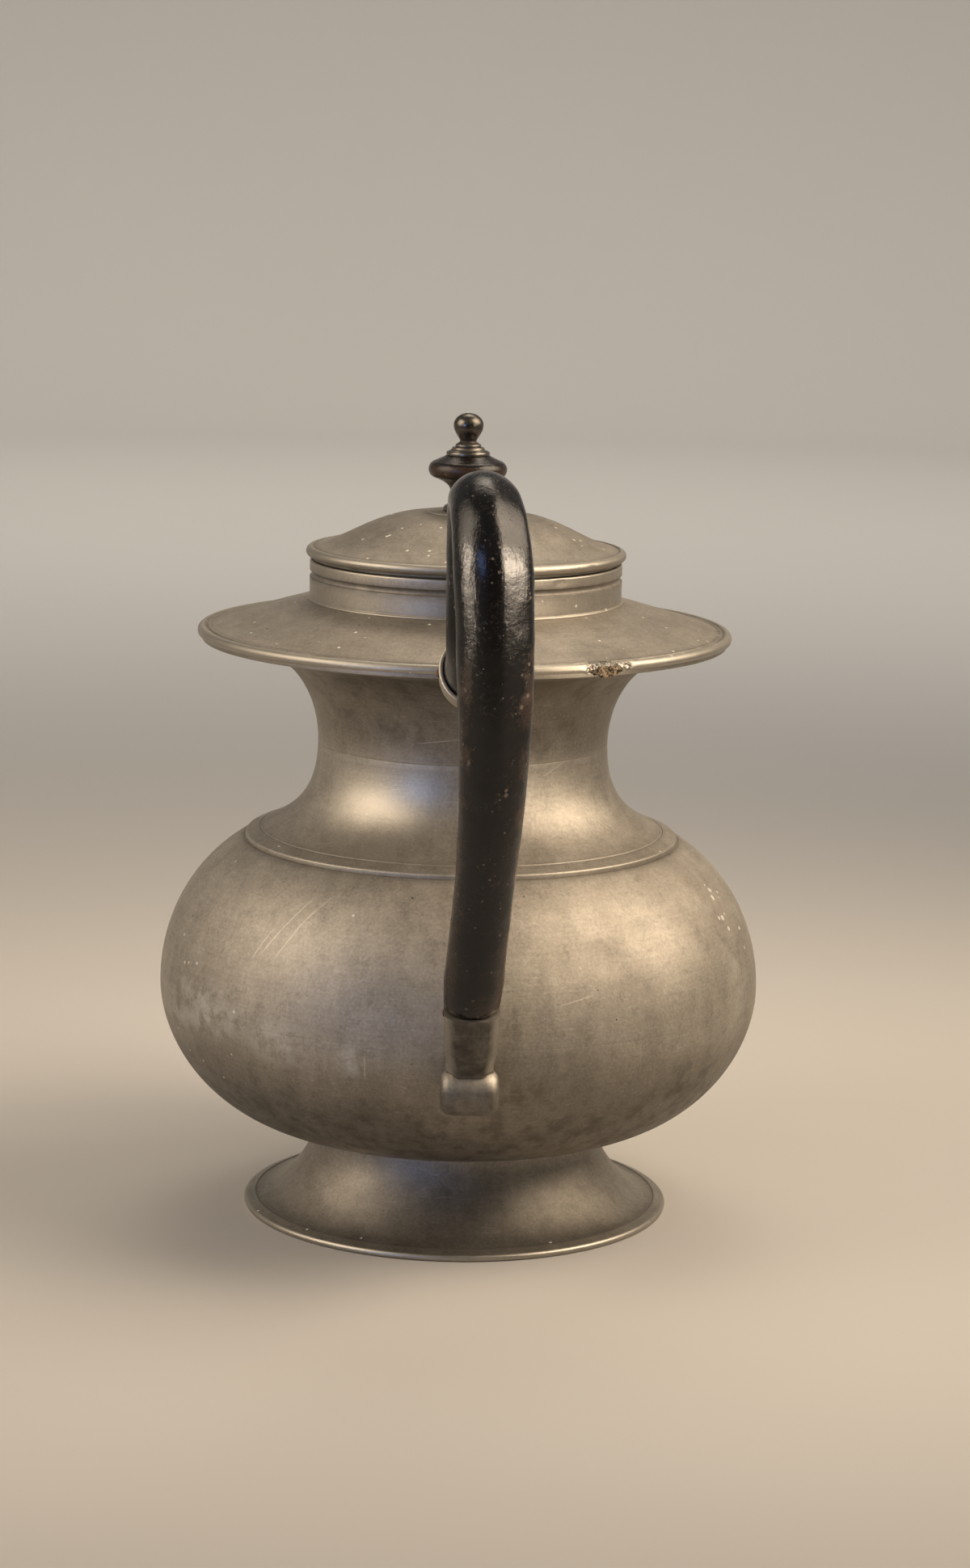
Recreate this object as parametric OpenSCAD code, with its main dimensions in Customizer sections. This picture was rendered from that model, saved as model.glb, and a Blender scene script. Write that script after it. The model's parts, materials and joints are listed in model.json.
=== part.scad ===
// Pewter pot with a wide brim, a hinged lid, a swan-neck spout and a pinned wooden handle.
// Millimetres, +Z up. The origin is the centre of the foot on the table.
// The handle points to -Y and the spout to +Y.

/* [Pewter and fits] */
// Thickness of the turned pewter walls
wall = 2; // [1.6:0.1:2.4]
// Film of solder between pieces that meet on a curved face
solder = 0.1; // [0.05:0.05:0.2]
// Radial clearance of the wooden ends in their sockets
wood_gap = 0.15; // [0.1:0.05:0.3]
// Radial clearance of pins and rods that stay put
pin_gap = 0.05; // [0.05:0.01:0.1]

/* [Foot] */
// Radius of the foot on the table
foot_r = 60.7; // [56:0.1:66]
// Height of the foot, up to the underside of the bowl
foot_h = 24.5; // [20:0.5:30]
// Radius of the foot at its waist, under the bowl
foot_waist_r = 40.1; // [36:0.1:44]
// Width of the flat band round the edge of the foot
foot_band = 3.5; // [2.5:0.1:5]
// Height of the foot's trumpet where it meets the band
foot_band_h = 2.4; // [2:0.1:3]

/* [Bowl] */
// Largest radius of the bowl
belly_r = 85; // [80:0.5:92]
// Height of the widest ring above the underside of the bowl
belly_drop = 41; // [34:0.5:48]
// Height of the shoulder's ellipse above the widest ring
belly_rise = 46.5; // [40:0.5:54]
// Radius that the shoulder's ellipse is centred on
belly_core_r = 42; // [36:0.5:46]
// Radius of the shoulder, where the neck is soldered on
shoulder_r = 62; // [58:0.5:66]
// Height of the step round the foot of the neck
shoulder_step = 1.55; // [1:0.05:2]

/* [Neck and brim] */
// Smallest radius of the neck
neck_r = 40.9; // [36:0.1:44]
// Height of the neck's narrowest ring above the shoulder
neck_rise = 27.55; // [24:0.05:31]
// Width of the flare from the neck to the brim
flare_w = 19; // [16:0.5:22]
// Height of the flare from the narrowest ring to the brim
flare_h = 26; // [22:0.5:30]
// Slope of the lip outside the flare, as rise over run
lip_slope = 0.2; // [0.1:0.05:0.3]
// Radius of the brim
brim_r = 75; // [70:0.5:80]
// Radius of the bead round the edge of the brim
brim_bead = 1.5; // [1.2:0.1:2]
// Rise of the brim from its edge to the foot of the collar
brim_rise = 9.2; // [6:0.1:12]

/* [Collar] */
// Outer radius of the collar
collar_r = 43.8; // [40:0.1:47]
// Height of the collar
collar_h = 11; // [9:0.5:14]
// Thickness of the collar
collar_wall = 1.8; // [1.4:0.1:2.2]
// Height of the upper band, above the groove
collar_band = 3; // [2.4:0.1:4]
// Depth of the turned groove
collar_groove = 0.7; // [0.4:0.1:1]
// Height of the turned groove
collar_groove_h = 1.8; // [1.4:0.1:2.4]

/* [Lid] */
// Overhang of the lid's rim past the collar
lid_overhang = 1.1; // [0.8:0.1:1.6]
// Gap between the lid's seat and the top of the collar
lid_gap = 0.3; // [0.2:0.05:0.5]
// Depth of the seat under the lid's rim
lid_seat = 0.6; // [0.4:0.1:1]
// Height of the half-round rim
lid_rim_h = 2.8; // [2.4:0.1:3.4]
// Rise of the dome above the rim
lid_rise = 10.2; // [8:0.2:14]
// Radius of the raised disc under the finial
lid_boss_r = 11.6; // [10:0.1:13]
// Height of the raised disc
lid_boss_h = 0.4; // [0.2:0.1:0.8]
// Thickness of the lid
lid_wall = 1.8; // [1.4:0.1:2.2]
// Radial gap between the bezel and the collar
bezel_gap = 0.6; // [0.5:0.1:0.9]
// Thickness of the bezel
bezel_wall = 1.6; // [1.2:0.1:2]
// Reach of the bezel below the lid's seat
bezel_drop = 4.5; // [3:0.5:6]

/* [Finial] */
// Radius of the rod that clamps the finial
rod_r = 1.5; // [1.2:0.1:1.8]
// Radius of the metal seat under the wooden knob
seat_r = 6.8; // [6:0.1:8]
// Height of the metal seat
seat_h = 2.6; // [2:0.1:3.4]
// Radius of the wooden knob
knob_r = 11; // [9.5:0.1:12.5]
// Height of the wooden knob with its stem
knob_h = 13; // [11:0.5:15]
// Radius of the knob's stem
stem_r = 4.8; // [4.2:0.1:5.6]
// Radius of the washer on the knob
washer_r = 6.1; // [5:0.1:7]
// Height of the washer
washer_h = 2.3; // [1.8:0.1:3]
// Radius of the ball button
button_r = 4.2; // [3.6:0.1:5]
// Height of the button above the washer
button_h = 9.5; // [8:0.1:11]
// Width of the nut across its flats
nut_w = 7; // [6:0.1:9]
// Height of the nut
nut_h = 2.6; // [2:0.1:3.4]

/* [Hinge] */
// Length of the hinge barrel
hinge_l = 13; // [11:0.5:16]
// Radius of the hinge barrel
hinge_r = 2.2; // [2:0.1:2.6]
// Radius of the hinge pin
hinge_pin_r = 0.9; // [0.8:0.05:1.1]
// Radial clearance of the pin in the lid's knuckle
hinge_fit = 0.05; // [0.03:0.01:0.08]
// Gap between the lid's rim and the barrel
hinge_gap = 0.5; // [0.4:0.05:0.8]
// Gap between neighbouring knuckles
knuckle_gap = 0.3; // [0.2:0.05:0.4]
// Thickness of the hinge leaves
leaf_t = 1.4; // [1.2:0.1:1.8]

/* [Handle] */
// Largest width of the grip
grip_w = 20.6; // [18:0.1:23]
// Depth of the grip for each millimetre of its width
grip_oval = 0.85; // [0.75:0.01:1]
// Width of the grip at its lower end
grip_end_w = 14.7; // [12.5:0.1:15.5]
// Height of the arch's crown above the upper socket
arch_h = 46.4; // [42:0.2:52]
// Radius of the arch, along the middle of the wood
arch_r = 16; // [14:0.5:18]
// Radius of the bend above the upper socket
bend_r = 13; // [12:0.5:15]
// Sideways bow of the hand-shaped outer leg
grip_bow = 3.3; // [0:0.1:4]
// Radius of the iron cross pins
cross_pin_r = 1.2; // [1:0.05:1.4]
// How far a cross pin stands out of its socket
cross_pin_proud = 0.3; // [0:0.1:0.6]

/* [Upper socket] */
// Reach of the socket's mouth past the edge of the brim
cup_out = 13; // [12:0.5:16]
// Height of the mouth's centre above the seat of the brim
cup_up = 3.7; // [2:0.1:6]
// Upward tilt of the socket, in degrees
cup_tilt = 22; // [15:1:30]
// Radius of the socket's bore
cup_bore_r = 8.7; // [8:0.1:9.4]
// Depth of the socket's bore
cup_depth = 9.5; // [8:0.5:10]
// Thickness of the socket's wall
cup_wall = 1.2; // [1:0.1:1.6]

/* [Lower socket] */
// Reach of the lower socket's mouth past the bowl
heel_out = 12; // [11:0.5:14]
// Height of that mouth above the widest ring of the bowl
heel_up = 15.5; // [14:0.5:18]
// Upward tilt of the lower socket, in degrees
heel_tilt = 69; // [64:1:74]
// Radius of the lower socket's bore
heel_bore_r = 6.4; // [5.8:0.1:6.8]
// Depth of the lower socket's bore
heel_depth = 8; // [7:0.5:9]
// Thickness of the lower socket's wall at its sides
heel_wall = 0.9; // [0.8:0.1:1.2]
// Thickness that the flat front has beyond the sides
heel_front = 0.6; // [0.4:0.1:1]
// Width of the strap on the bowl
strap_w = 12.6; // [11:0.1:14]
// Chamfer along the front edges of the socket and strap
strap_chamfer = 2.9; // [2:0.1:3.4]
// Radius of the rolled tail
tail_r = 6.2; // [5:0.1:7]
// Width of the rolled tail
tail_w = 15.4; // [14:0.1:17]
// Bevel round the ends of the rolled tail
tail_bevel = 1.6; // [1:0.1:2.4]
// Drop of the tail's centre below the widest ring of the bowl
tail_drop = 9.3; // [8:0.1:11]
// Length of the socket that stands clear of the bowl
heel_free_h = 9.5; // [8:0.5:11]

/* [Spout] */
// Half width of the spout where it meets the bowl
spout_base_w = 18; // [15:0.5:21]
// Half height of the spout where it meets the bowl
spout_base_h = 24; // [20:0.5:27]
// Height of the spout's root above the widest ring of the bowl
spout_root_up = 4; // [2:0.5:8]
// Outer radius of the spout in its bend
spout_mid_r = 10; // [9:0.1:12]
// Outer radius of the spout at its tip
spout_tip_r = 7; // [6:0.1:8]
// Thickness of the spout's wall
spout_wall = 2; // [1.6:0.1:2.2]
// Reach of the tip's centre past the bowl
spout_out = 48.6; // [42:0.1:54]
// Height of the tip's centre above the widest ring of the bowl
spout_up = 102.5; // [96:0.5:108]
// Reach of the spout's bend past the bowl
spout_bend_out = 25.5; // [22:0.5:29]
// Height of the bend's upper end above the widest ring of the bowl
spout_bend_up = 42.5; // [38:0.5:47]
// Radius of the strainer holes in the bowl
strainer_r = 1.6; // [1.2:0.1:2]
// Spacing of the strainer holes
strainer_pitch = 6.5; // [5.5:0.5:8]

/* [Hidden] */
$fn = 96;
pewter = [0.55, 0.53, 0.49];
dark_pewter = [0.33, 0.32, 0.30];
black_wood = [0.07, 0.06, 0.06];
brown_wood = [0.19, 0.13, 0.09];
iron = [0.30, 0.19, 0.13];
curve_steps = 28;
far = 400;

// Heights that follow from the driving sizes
belly_z = foot_h + belly_drop;
belly_a = belly_r - belly_core_r;
shoulder_t = acos((shoulder_r - belly_core_r) / belly_a);
shoulder_z = belly_z + belly_rise * sin(shoulder_t);
neck_z = shoulder_z + neck_rise;

// Curves in the plane of radius and height, drawn from the bottom up
function bezier(p, n = curve_steps) = [
    for (i = [0 : n])
        let (t = i / n, s = 1 - t)
            s * s * s * p[0] + 3 * s * s * t * p[1] + 3 * s * t * t * p[2] + t * t * t * p[3]
];
function ellipse_arc(c, a, b, from, to, n = curve_steps) = [
    for (i = [0 : n])
        let (t = from + (to - from) * i / n)
            [c[0] + a * cos(t), c[1] + b * sin(t)]
];
function reversed(v) = [for (i = [len(v) - 1 : -1 : 0]) v[i]];
function tail(v) = [for (i = [1 : len(v) - 1]) v[i]];

// The same curve moved to the left of its travel by d
function inset(path, d) = [
    for (i = [0 : len(path) - 1])
        let (
            a = path[max(i - 1, 0)],
            b = path[min(i + 1, len(path) - 1)],
            t = (b - a) / norm(b - a)
        )
            path[i] + d * [-t[1], t[0]]
];
function radius_at(path, z) = lookup(z, [for (p = path) [p[1], p[0]]]);
trim = 0.05;
function above(path, z) = concat(
    [[radius_at(path, z), z]],
    [for (p = path) if (p[1] > z + trim) p]
);
function below(path, z) = concat(
    [for (p = path) if (p[1] < z - trim) p],
    [[radius_at(path, z), z]]
);
module turned(outline) {
    rotate_extrude()
        polygon(outline);
}

// Foot: a trumpet from the waist down to the band on the table
foot_toe = [foot_r - foot_band, foot_band_h];
foot_toe_lead = [-8.2, 1];
foot_waist_lead = 9;
foot_trumpet = bezier([
    foot_toe,
    foot_toe + foot_toe_lead,
    [foot_waist_r, foot_h - foot_waist_lead],
    [foot_waist_r, foot_h]
]);
foot_edge_w = 1.2;
foot_edge_h = 1.1;
foot_edge_z = 0.7;
foot_edge_from_angle = -35;
foot_edge_to_angle = 80;
foot_edge = ellipse_arc(
    [foot_r - foot_edge_w, foot_edge_z], foot_edge_w, foot_edge_h,
    foot_edge_from_angle, foot_edge_to_angle, 6
);
foot_land_w = 0.4;
foot_edge_in = 0.3;
foot_step_w = 0.3;
foot_step_h = 0.2;

// Bowl: a Bezier below the widest ring and a quarter ellipse above it
bowl_seat = 0.3;
bowl_bottom_lead = 28;
bowl_side_lead = 18.5;
bowl_outer = bezier([
    [foot_waist_r + bowl_seat, foot_h],
    [foot_waist_r + bowl_seat + bowl_bottom_lead, foot_h],
    [belly_r, belly_z - bowl_side_lead],
    [belly_r, belly_z]
]);
crown_outer = ellipse_arc([belly_core_r, belly_z], belly_a, belly_rise, 0, shoulder_t);
crown_inner = below(
    ellipse_arc([belly_core_r, belly_z], belly_a - wall, belly_rise - wall, 0, 90),
    shoulder_z
);
bowl_profile = concat(bowl_outer, tail(crown_outer));
function bowl_r(z) = radius_at(bowl_profile, z);

// Neck: a concave sweep up from a low step on the shoulder, then a flare out to the lip under the brim
quarter_turn = 90;
shoulder_ledge = 0.9;
step_round = 0.6;
neck_root_lead = [-11.7, 4.4];
neck_lead = 16.3;
neck_edge_r = shoulder_r - shoulder_ledge;
step_at = [neck_edge_r - step_round, shoulder_z + shoulder_step - step_round];
step_turn = quarter_turn + atan(neck_root_lead[1] / neck_root_lead[0]);
neck_root = step_at + step_round * along(step_turn);
neck_sweep = bezier([
    neck_root,
    neck_root + neck_root_lead,
    [neck_r, neck_z - neck_lead],
    [neck_r, neck_z]
]);
flare_end_t = quarter_turn + atan(lip_slope * flare_w / flare_h);
neck_flare = ellipse_arc([neck_r + flare_w, neck_z], flare_w, flare_h, 180, flare_end_t);
flare_end = neck_flare[len(neck_flare) - 1];
lip_in = 1.3;
lip_r = brim_r - lip_in;
lip_z = flare_end[1] + lip_slope * (lip_r - flare_end[0]);
lip_t = 1.3;
brim_seat_z = lip_z + lip_t;
neck_outer = concat(neck_sweep, tail(neck_flare), [[lip_r, lip_z]]);
neck_inner = inset(neck_outer, wall);

// Brim: a shallow cone with a half-round edge and a raised line inside it
brim_bead_up = 0.6 * brim_bead;
brim_edge_to_angle = 120;
brim_edge = ellipse_arc(
    [brim_r - brim_bead, brim_seat_z + brim_bead_up], brim_bead, brim_bead,
    -asin(brim_bead_up / brim_bead), brim_edge_to_angle, 12
);
collar_z = brim_seat_z + brim_bead_up + brim_rise;
brim_land = 1;
line_in = 3.1;
line_up = 2.5;
line_peak = [brim_r - line_in, brim_seat_z + line_up];
line_w = 0.4;
line_drop = 0.1;
brim_line = [
    line_peak + [line_w, -line_w],
    line_peak,
    line_peak - [line_w, line_drop]
];
brim_outer_lead = [-7, 2];
brim_inner_lead = [9, -2.7];
brim_top_out = line_peak - [2 * line_w, 1.5 * line_drop];
brim_top_in = [collar_r + brim_land, collar_z];
brim_top = bezier([
    brim_top_out,
    brim_top_out + brim_outer_lead,
    brim_top_in + brim_inner_lead,
    brim_top_in
]);
brim_under = inset(brim_top, wall);
brim_hole_r = collar_r - collar_wall;
brim_seat_w = 4;

// Collar
collar_top_z = collar_z + collar_h;
groove_z = collar_top_z - collar_band - collar_groove_h / 2;
collar_bore_r = collar_r - collar_wall;
collar_chamfer = 0.35;

// Lid
lid_r = collar_r + lid_overhang;
lid_seat_z = collar_top_z + lid_gap;
lid_rim_z = lid_seat_z + lid_seat;
lid_rim_w = 1.6;
lid_top_z = lid_rim_z + lid_rim_h + lid_rise;
lid_rim_land = 1.4;
dome_foot = [lid_r - lid_rim_w - lid_rim_land, lid_rim_z + lid_rim_h + 0.1];
dome_foot_lead = [-8.4, 1.7];
dome_top = [lid_boss_r, lid_top_z - lid_boss_h];
dome_top_lead = [14, 0];
lid_dome = bezier([
    dome_foot,
    dome_foot + dome_foot_lead,
    dome_top + dome_top_lead,
    dome_top
]);
lid_nut_z = dome_top[1] - lid_wall;
lid_rim = ellipse_arc(
    [lid_r - lid_rim_w, lid_rim_z + lid_rim_h / 2], lid_rim_w, lid_rim_h / 2, -90, 90, 14
);
bezel_r = collar_bore_r - bezel_gap;
bezel_in = 1.4;
bezel_top_z = lid_seat_z + bezel_in;
lid_under = [
    for (p = inset(lid_dome, lid_wall))
        if (p[0] < bezel_r - bezel_wall - 0.5) p
];

// Finial, stacked on the lid along the rod
seat_top_z = lid_top_z + seat_h;
knob_top_z = seat_top_z + knob_h;
washer_top_z = knob_top_z + washer_h;
button_top_z = washer_top_z + button_h;
rod_bore_r = rod_r + pin_gap;
nut_top_z = lid_nut_z;
rod_tail = 1;

// Hinge on the collar, under the arch of the handle
hinge_y = -(lid_r + hinge_gap + hinge_r);
hinge_z = lid_rim_z + 0.3;
knuckle_l = (hinge_l - 2 * knuckle_gap) / 3;
leaf_r = collar_r + solder;

// Sockets and handle, in the plane of reach (towards -Y) and height
function along(a) = [cos(a), sin(a)];
cup_mouth = [brim_r + cup_out, brim_seat_z + cup_up];
cup_axis = along(cup_tilt);
cup_r = cup_bore_r + cup_wall;
cup_pin_depth = 5;
heel_mouth = [belly_r + heel_out, belly_z + heel_up];
heel_axis = along(heel_tilt);
heel_half = heel_bore_r + heel_wall;
heel_pin_depth = 2.4;
tenon_l = cup_depth - wood_gap;
heel_tenon_l = heel_depth - wood_gap;
heel_lead = 38;
heel_shoulder = heel_mouth + wood_gap * heel_axis;
grip_root_l = 1.5;
grip_root = cup_mouth + grip_root_l * cup_axis;
bend_at = grip_root + bend_r * along(cup_tilt + 90);
crown = [bend_at[0] + bend_r + arch_r, cup_mouth[1] + arch_h];
arch_at = crown - [0, arch_r];
knee = arch_at + [arch_r, 0];
grip_sides = 24;
bend = ellipse_arc(bend_at, bend_r, bend_r, cup_tilt - 90, 0, 7);
arch = ellipse_arc(arch_at, arch_r, arch_r, 180, 0, 16);
bend_end = bend[len(bend) - 1];
inner_leg = [for (k = [0.25, 0.5, 0.75]) bend_end + k * (arch[0] - bend_end)];
knee_lead = 44;
outer_leg = bezier(
    [knee, knee - [0, knee_lead], heel_shoulder + heel_lead * heel_axis, heel_shoulder], 26
);
grip_path = concat(
    [cup_mouth - tenon_l * cup_axis, cup_mouth],
    bend,
    inner_leg,
    arch,
    tail(outer_leg),
    [heel_shoulder, heel_mouth - heel_tenon_l * heel_axis]
);

// Rings of the grip: mouth of the upper socket, crown, knee and mouth of the lower socket
at_cup = 1;
at_knee = at_cup + len(bend) + len(inner_leg) + len(arch);
at_crown = at_knee - (len(arch) - 1) / 2;
at_heel = at_knee + len(outer_leg) - 1;
cup_tenon_r = cup_bore_r - wood_gap;
heel_tenon_r = heel_bore_r - wood_gap;
crown_half = 0.9 * grip_w / 2;
grip_taper = 0.5;
grip_waist = 0.35;
grip_swell = 0.65;
bow_power = 1.25;

// Half width of the grip at each ring, from the upper tenon to the lower one
function grip_half(i) =
    i <= at_cup ? cup_tenon_r
    : i > at_heel ? heel_tenon_r
    : i <= at_crown ? lookup(i, [[at_cup, cup_tenon_r], [at_crown, crown_half]])
    : i <= at_knee ? lookup(i, [[at_crown, crown_half], [at_knee, grip_w / 2]])
    : lookup((i - at_knee) / (at_heel - at_knee), [
        [0, grip_w / 2],
        [0.25, grip_w / 2 - grip_taper],
        [0.55, (grip_w + grip_end_w) / 4 - grip_waist],
        [0.67, grip_end_w / 2 + grip_swell],
        [0.93, grip_end_w / 2 + grip_swell],
        [1, grip_end_w / 2]
    ]);
function oval(i) =
    i <= at_cup || i >= at_heel ? 1
    : lookup(min(i - at_cup, at_heel - i), [[0, 1], [6, grip_oval]]);
function bow(i) =
    i < at_crown || i > at_heel ? 0
    : grip_bow * pow(max(sin(180 * (i - at_crown) / (at_heel - at_crown)), 0), bow_power);

// One ring of points square to a path, given as reach and height, with its half width and half depth
function ring(c, t, half_w, half_d, side, shift, n, phase = 0) = [
    for (j = [0 : n - 1])
        let (
            a = 360 * (j + phase) / n,
            q = c + half_d * sin(a) * [-t[1], t[0]]
        )
            [shift + half_w * cos(a), side * q[0], q[1]]
];
function direction(path, i) =
    let (
        a = path[max(i - 1, 0)],
        b = path[min(i + 1, len(path) - 1)]
    )
        (b - a) / norm(b - a);
grip_rings = [
    for (i = [0 : len(grip_path) - 1])
        let (
            t = i <= at_cup + 1 ? cup_axis : i >= at_heel ? -heel_axis : direction(grip_path, i),
            half = grip_half(i)
        )
            ring(grip_path[i], t, half, half * oval(i), -1, bow(i), grip_sides)
];

// A skin over rings that all have the same number of points, capped at its ends or joined in a loop
module skin(rings, loop, inward) {
    n = len(rings[0]);
    m = len(rings);
    points = [for (r = rings) each r];
    sides = [
        for (i = [0 : loop ? m - 1 : m - 2])
            for (j = [0 : n - 1])
                let (
                    a = i * n + j,
                    b = i * n + (j + 1) % n,
                    c = ((i + 1) % m) * n + (j + 1) % n,
                    d = ((i + 1) % m) * n + j
                )
                    each [[a, b, c], [a, c, d]]
    ];
    caps = loop ? [] : [
        [for (j = [n - 1 : -1 : 0]) j],
        [for (j = [0 : n - 1]) (m - 1) * n + j]
    ];
    faces = concat(sides, caps);
    polyhedron(points, inward ? [for (f = faces) reversed(f)] : faces);
}

// Places a shape drawn along +Z at a point of the handle's plane, pointing along a tilt
module in_handle_plane(at, tilt) {
    translate([0, -at[0], at[1]])
        rotate([90 - tilt, 0, 0])
            children();
}
module cross_pin(at, half_l, r) {
    translate([0, -at[0], at[1]])
        rotate([0, 90, 0])
            cylinder(h = 2 * half_l, r = r, center = true);
}

// Spout, in the plane of reach (towards +Y) and height
spout_sides = 28;
half_step = 0.5;
spout_root_z = belly_z + spout_root_up;
spout_tip = [belly_r + spout_out, belly_z + spout_up];
spout_bend = [belly_r + spout_bend_out, belly_z + spout_bend_up];
spout_start_out = 5;
spout_start_up = 0.5;
spout_start = [belly_r + spout_start_out, spout_root_z + spout_start_up];
spout_start_lead = [10, 3.5];
spout_bend_lead = [2.5, 24];
spout_tip_lead = [14, 11];
spout_rise = bezier([
    spout_start,
    spout_start + spout_start_lead,
    spout_bend - spout_bend_lead,
    spout_bend
], 14);
spout_lift = bezier([
    spout_bend,
    spout_bend + spout_bend_lead,
    spout_tip - spout_tip_lead,
    spout_tip
], 14);
spout_path = concat(spout_rise, tail(spout_lift));
spout_last = len(spout_path) - 1;
function spout_half(i, base, mid, tip) =
    lookup(i / spout_last, [
        [0, base],
        [0.12, base * 0.78 + mid * 0.22],
        [0.3, base * 0.36 + mid * 0.64],
        [0.5, mid],
        [0.8, (mid + tip) / 2 - 0.3],
        [0.95, tip - 0.3],
        [1, tip]
    ]);

// The spout's root lies on the bowl, a film of solder away
function spout_foot(half_w, half_h) = [
    for (j = [0 : spout_sides - 1])
        let (
            a = 360 * (j + half_step) / spout_sides,
            x = half_w * cos(a),
            z = spout_root_z + half_h * sin(a),
            r = bowl_r(z) + 2 * solder
        )
            [x, sqrt(r * r - x * x), z]
];
function spout_rings(d) = concat(
    [spout_foot(spout_base_w - d, spout_base_h - d)],
    [
        for (i = [0 : spout_last])
            ring(
                spout_path[i],
                direction(spout_path, i),
                spout_half(i, 0.86 * spout_base_w, spout_mid_r, spout_tip_r) - d,
                spout_half(i, 0.86 * spout_base_h, spout_mid_r, spout_tip_r) - d,
                1, 0, spout_sides, half_step
            )
    ]
);
module strainer_holes() {
    row_h = strainer_pitch * sin(60);
    for (i = [0 : 3])
        for (k = [-1 : 1])
            translate([
                (k + (i % 2) / 2 - 0.25) * strainer_pitch,
                0,
                belly_z + 2 * strainer_r + i * row_h
            ])
                rotate([-90, 0, 0])
                    cylinder(h = far, r = strainer_r);
}

// Space taken by the brim and the lip under it, with a film of solder, for what is soldered to its edge
module brim_envelope() {
    edge = concat(tail(neck_flare), [[lip_r, lip_z]], brim_edge, brim_line, brim_top);
    turned(concat(inset(edge, -solder), [[neck_r, collar_z], [neck_r, neck_z]]));
}

module foot() {
    color(pewter)
        turned(concat(
            [[foot_r - foot_band - foot_land_w, 0], [foot_r - foot_edge_in, 0]],
            foot_edge,
            [[foot_r - foot_band + foot_step_w, foot_band_h + foot_step_h]],
            foot_trumpet,
            reversed(below(inset(foot_trumpet, wall), foot_h))
        ));
}

module lower_bowl() {
    color(pewter)
        turned(concat(
            [[0, foot_h]],
            bowl_outer,
            reversed(below(inset(bowl_outer, wall), belly_z)),
            [[0, foot_h + wall]]
        ));
}

module upper_bowl() {
    color(pewter)
        difference() {
            turned(concat(crown_outer, reversed(crown_inner)));
            strainer_holes();
        }
}

module neck() {
    color(pewter)
        turned(concat(
            [[neck_edge_r, shoulder_z]],
            ellipse_arc(step_at, step_round, step_round, 0, step_turn, 6),
            tail(neck_sweep),
            reversed(below(above(neck_inner, shoulder_z), neck_z))
        ));
}

module flare() {
    color(pewter)
        turned(concat(
            neck_flare,
            [[lip_r, lip_z], [lip_r, brim_seat_z]],
            reversed(below(above(neck_inner, neck_z), brim_seat_z))
        ));
}

module brim() {
    color(pewter)
        turned(concat(
            [[brim_r - brim_seat_w, brim_seat_z]],
            brim_edge,
            brim_line,
            brim_top,
            [[brim_hole_r, collar_z], [brim_hole_r, collar_z - wall]],
            reversed(brim_under)
        ));
}

module collar() {
    color(pewter)
        turned(concat(
            [[collar_bore_r, collar_z], [collar_r + 0.5, collar_z], [collar_r, collar_z + 0.5]],
            reversed(ellipse_arc(
                [collar_r, groove_z], collar_groove, collar_groove_h / 2, 90, 270, 10
            )),
            [
                [collar_r, collar_top_z - collar_chamfer],
                [collar_r - collar_chamfer, collar_top_z],
                [collar_bore_r, collar_top_z]
            ]
        ));
}

// One of the two cast halves of the spout, which are soldered together along the middle
module spout_half_shell() {
    intersection() {
        skin(concat(spout_rings(0), reversed(spout_rings(spout_wall))), true, false);
        translate([-far, 0, 0])
            cube(far);
    }
}

module spout_left() {
    color(pewter)
        spout_half_shell();
}

module spout_right() {
    color(pewter)
        mirror([1, 0, 0])
            spout_half_shell();
}

// Upper socket: a cup with a rim round its mouth and a spigot that runs under the brim
cup_back_wall = 2;
spigot_l = 8;
spigot_r = 4.2;
spigot_flare_r = 6.72;
spigot_flare_h = 0.8;
cup_heel_in = 1.3;
cup_heel_h = 0.6;
cup_round_h = 2.4;
cup_rim_w = 0.3;
cup_rim_h = 1.6;
cup_rim_round_h = 0.4;
module upper_socket() {
    back = cup_depth + cup_back_wall;
    color(pewter)
        difference() {
            in_handle_plane(cup_mouth, cup_tilt)
                rotate_extrude()
                    polygon([
                        [0, -back - spigot_l],
                        [spigot_r, -back - spigot_l],
                        [spigot_flare_r, -back - spigot_flare_h],
                        [cup_r - cup_heel_in, -back + cup_heel_h],
                        [cup_r - cup_rim_w, -back + cup_round_h],
                        [cup_r - cup_rim_w, -cup_rim_h],
                        [cup_r, -cup_rim_h + cup_rim_round_h],
                        [cup_r, -cup_rim_w],
                        [cup_r - cup_rim_w, 0],
                        [cup_bore_r, 0],
                        [cup_bore_r, -cup_depth],
                        [0, -cup_depth]
                    ]);
            brim_envelope();
            cross_pin(cup_mouth - cup_pin_depth * cup_axis, far, cross_pin_r + pin_gap);
        }
}

// Lower socket and strap: one chamfered form from the mouth down to the rolled tail
tail_gap = 0.3;
tail_at = [belly_r + tail_r + tail_gap, belly_z - tail_drop];
heel_foot = heel_mouth - heel_depth * heel_axis;
heel_across = along(heel_tilt - quarter_turn);
heel_steps = 6;
heel_back_chamfer = 1.4;
strap_foot_out = 2.5;
strap_foot = tail_at + [strap_foot_out, 0];
strap_foot_lead = [1.3, 7];
mouth_lead = 10;
mouth_front = heel_mouth + (heel_half + heel_front) * heel_across;
mouth_back = heel_mouth - heel_half * heel_across;
strap_front = bezier([
    strap_foot,
    strap_foot + strap_foot_lead,
    mouth_front - mouth_lead * heel_axis,
    mouth_front
], 2 * heel_steps);
function on_bowl(z) = [bowl_r(z) + 2 * solder, z];
strap_top_z = heel_mouth[1] - heel_free_h;
back_lead = 4.5;
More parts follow.
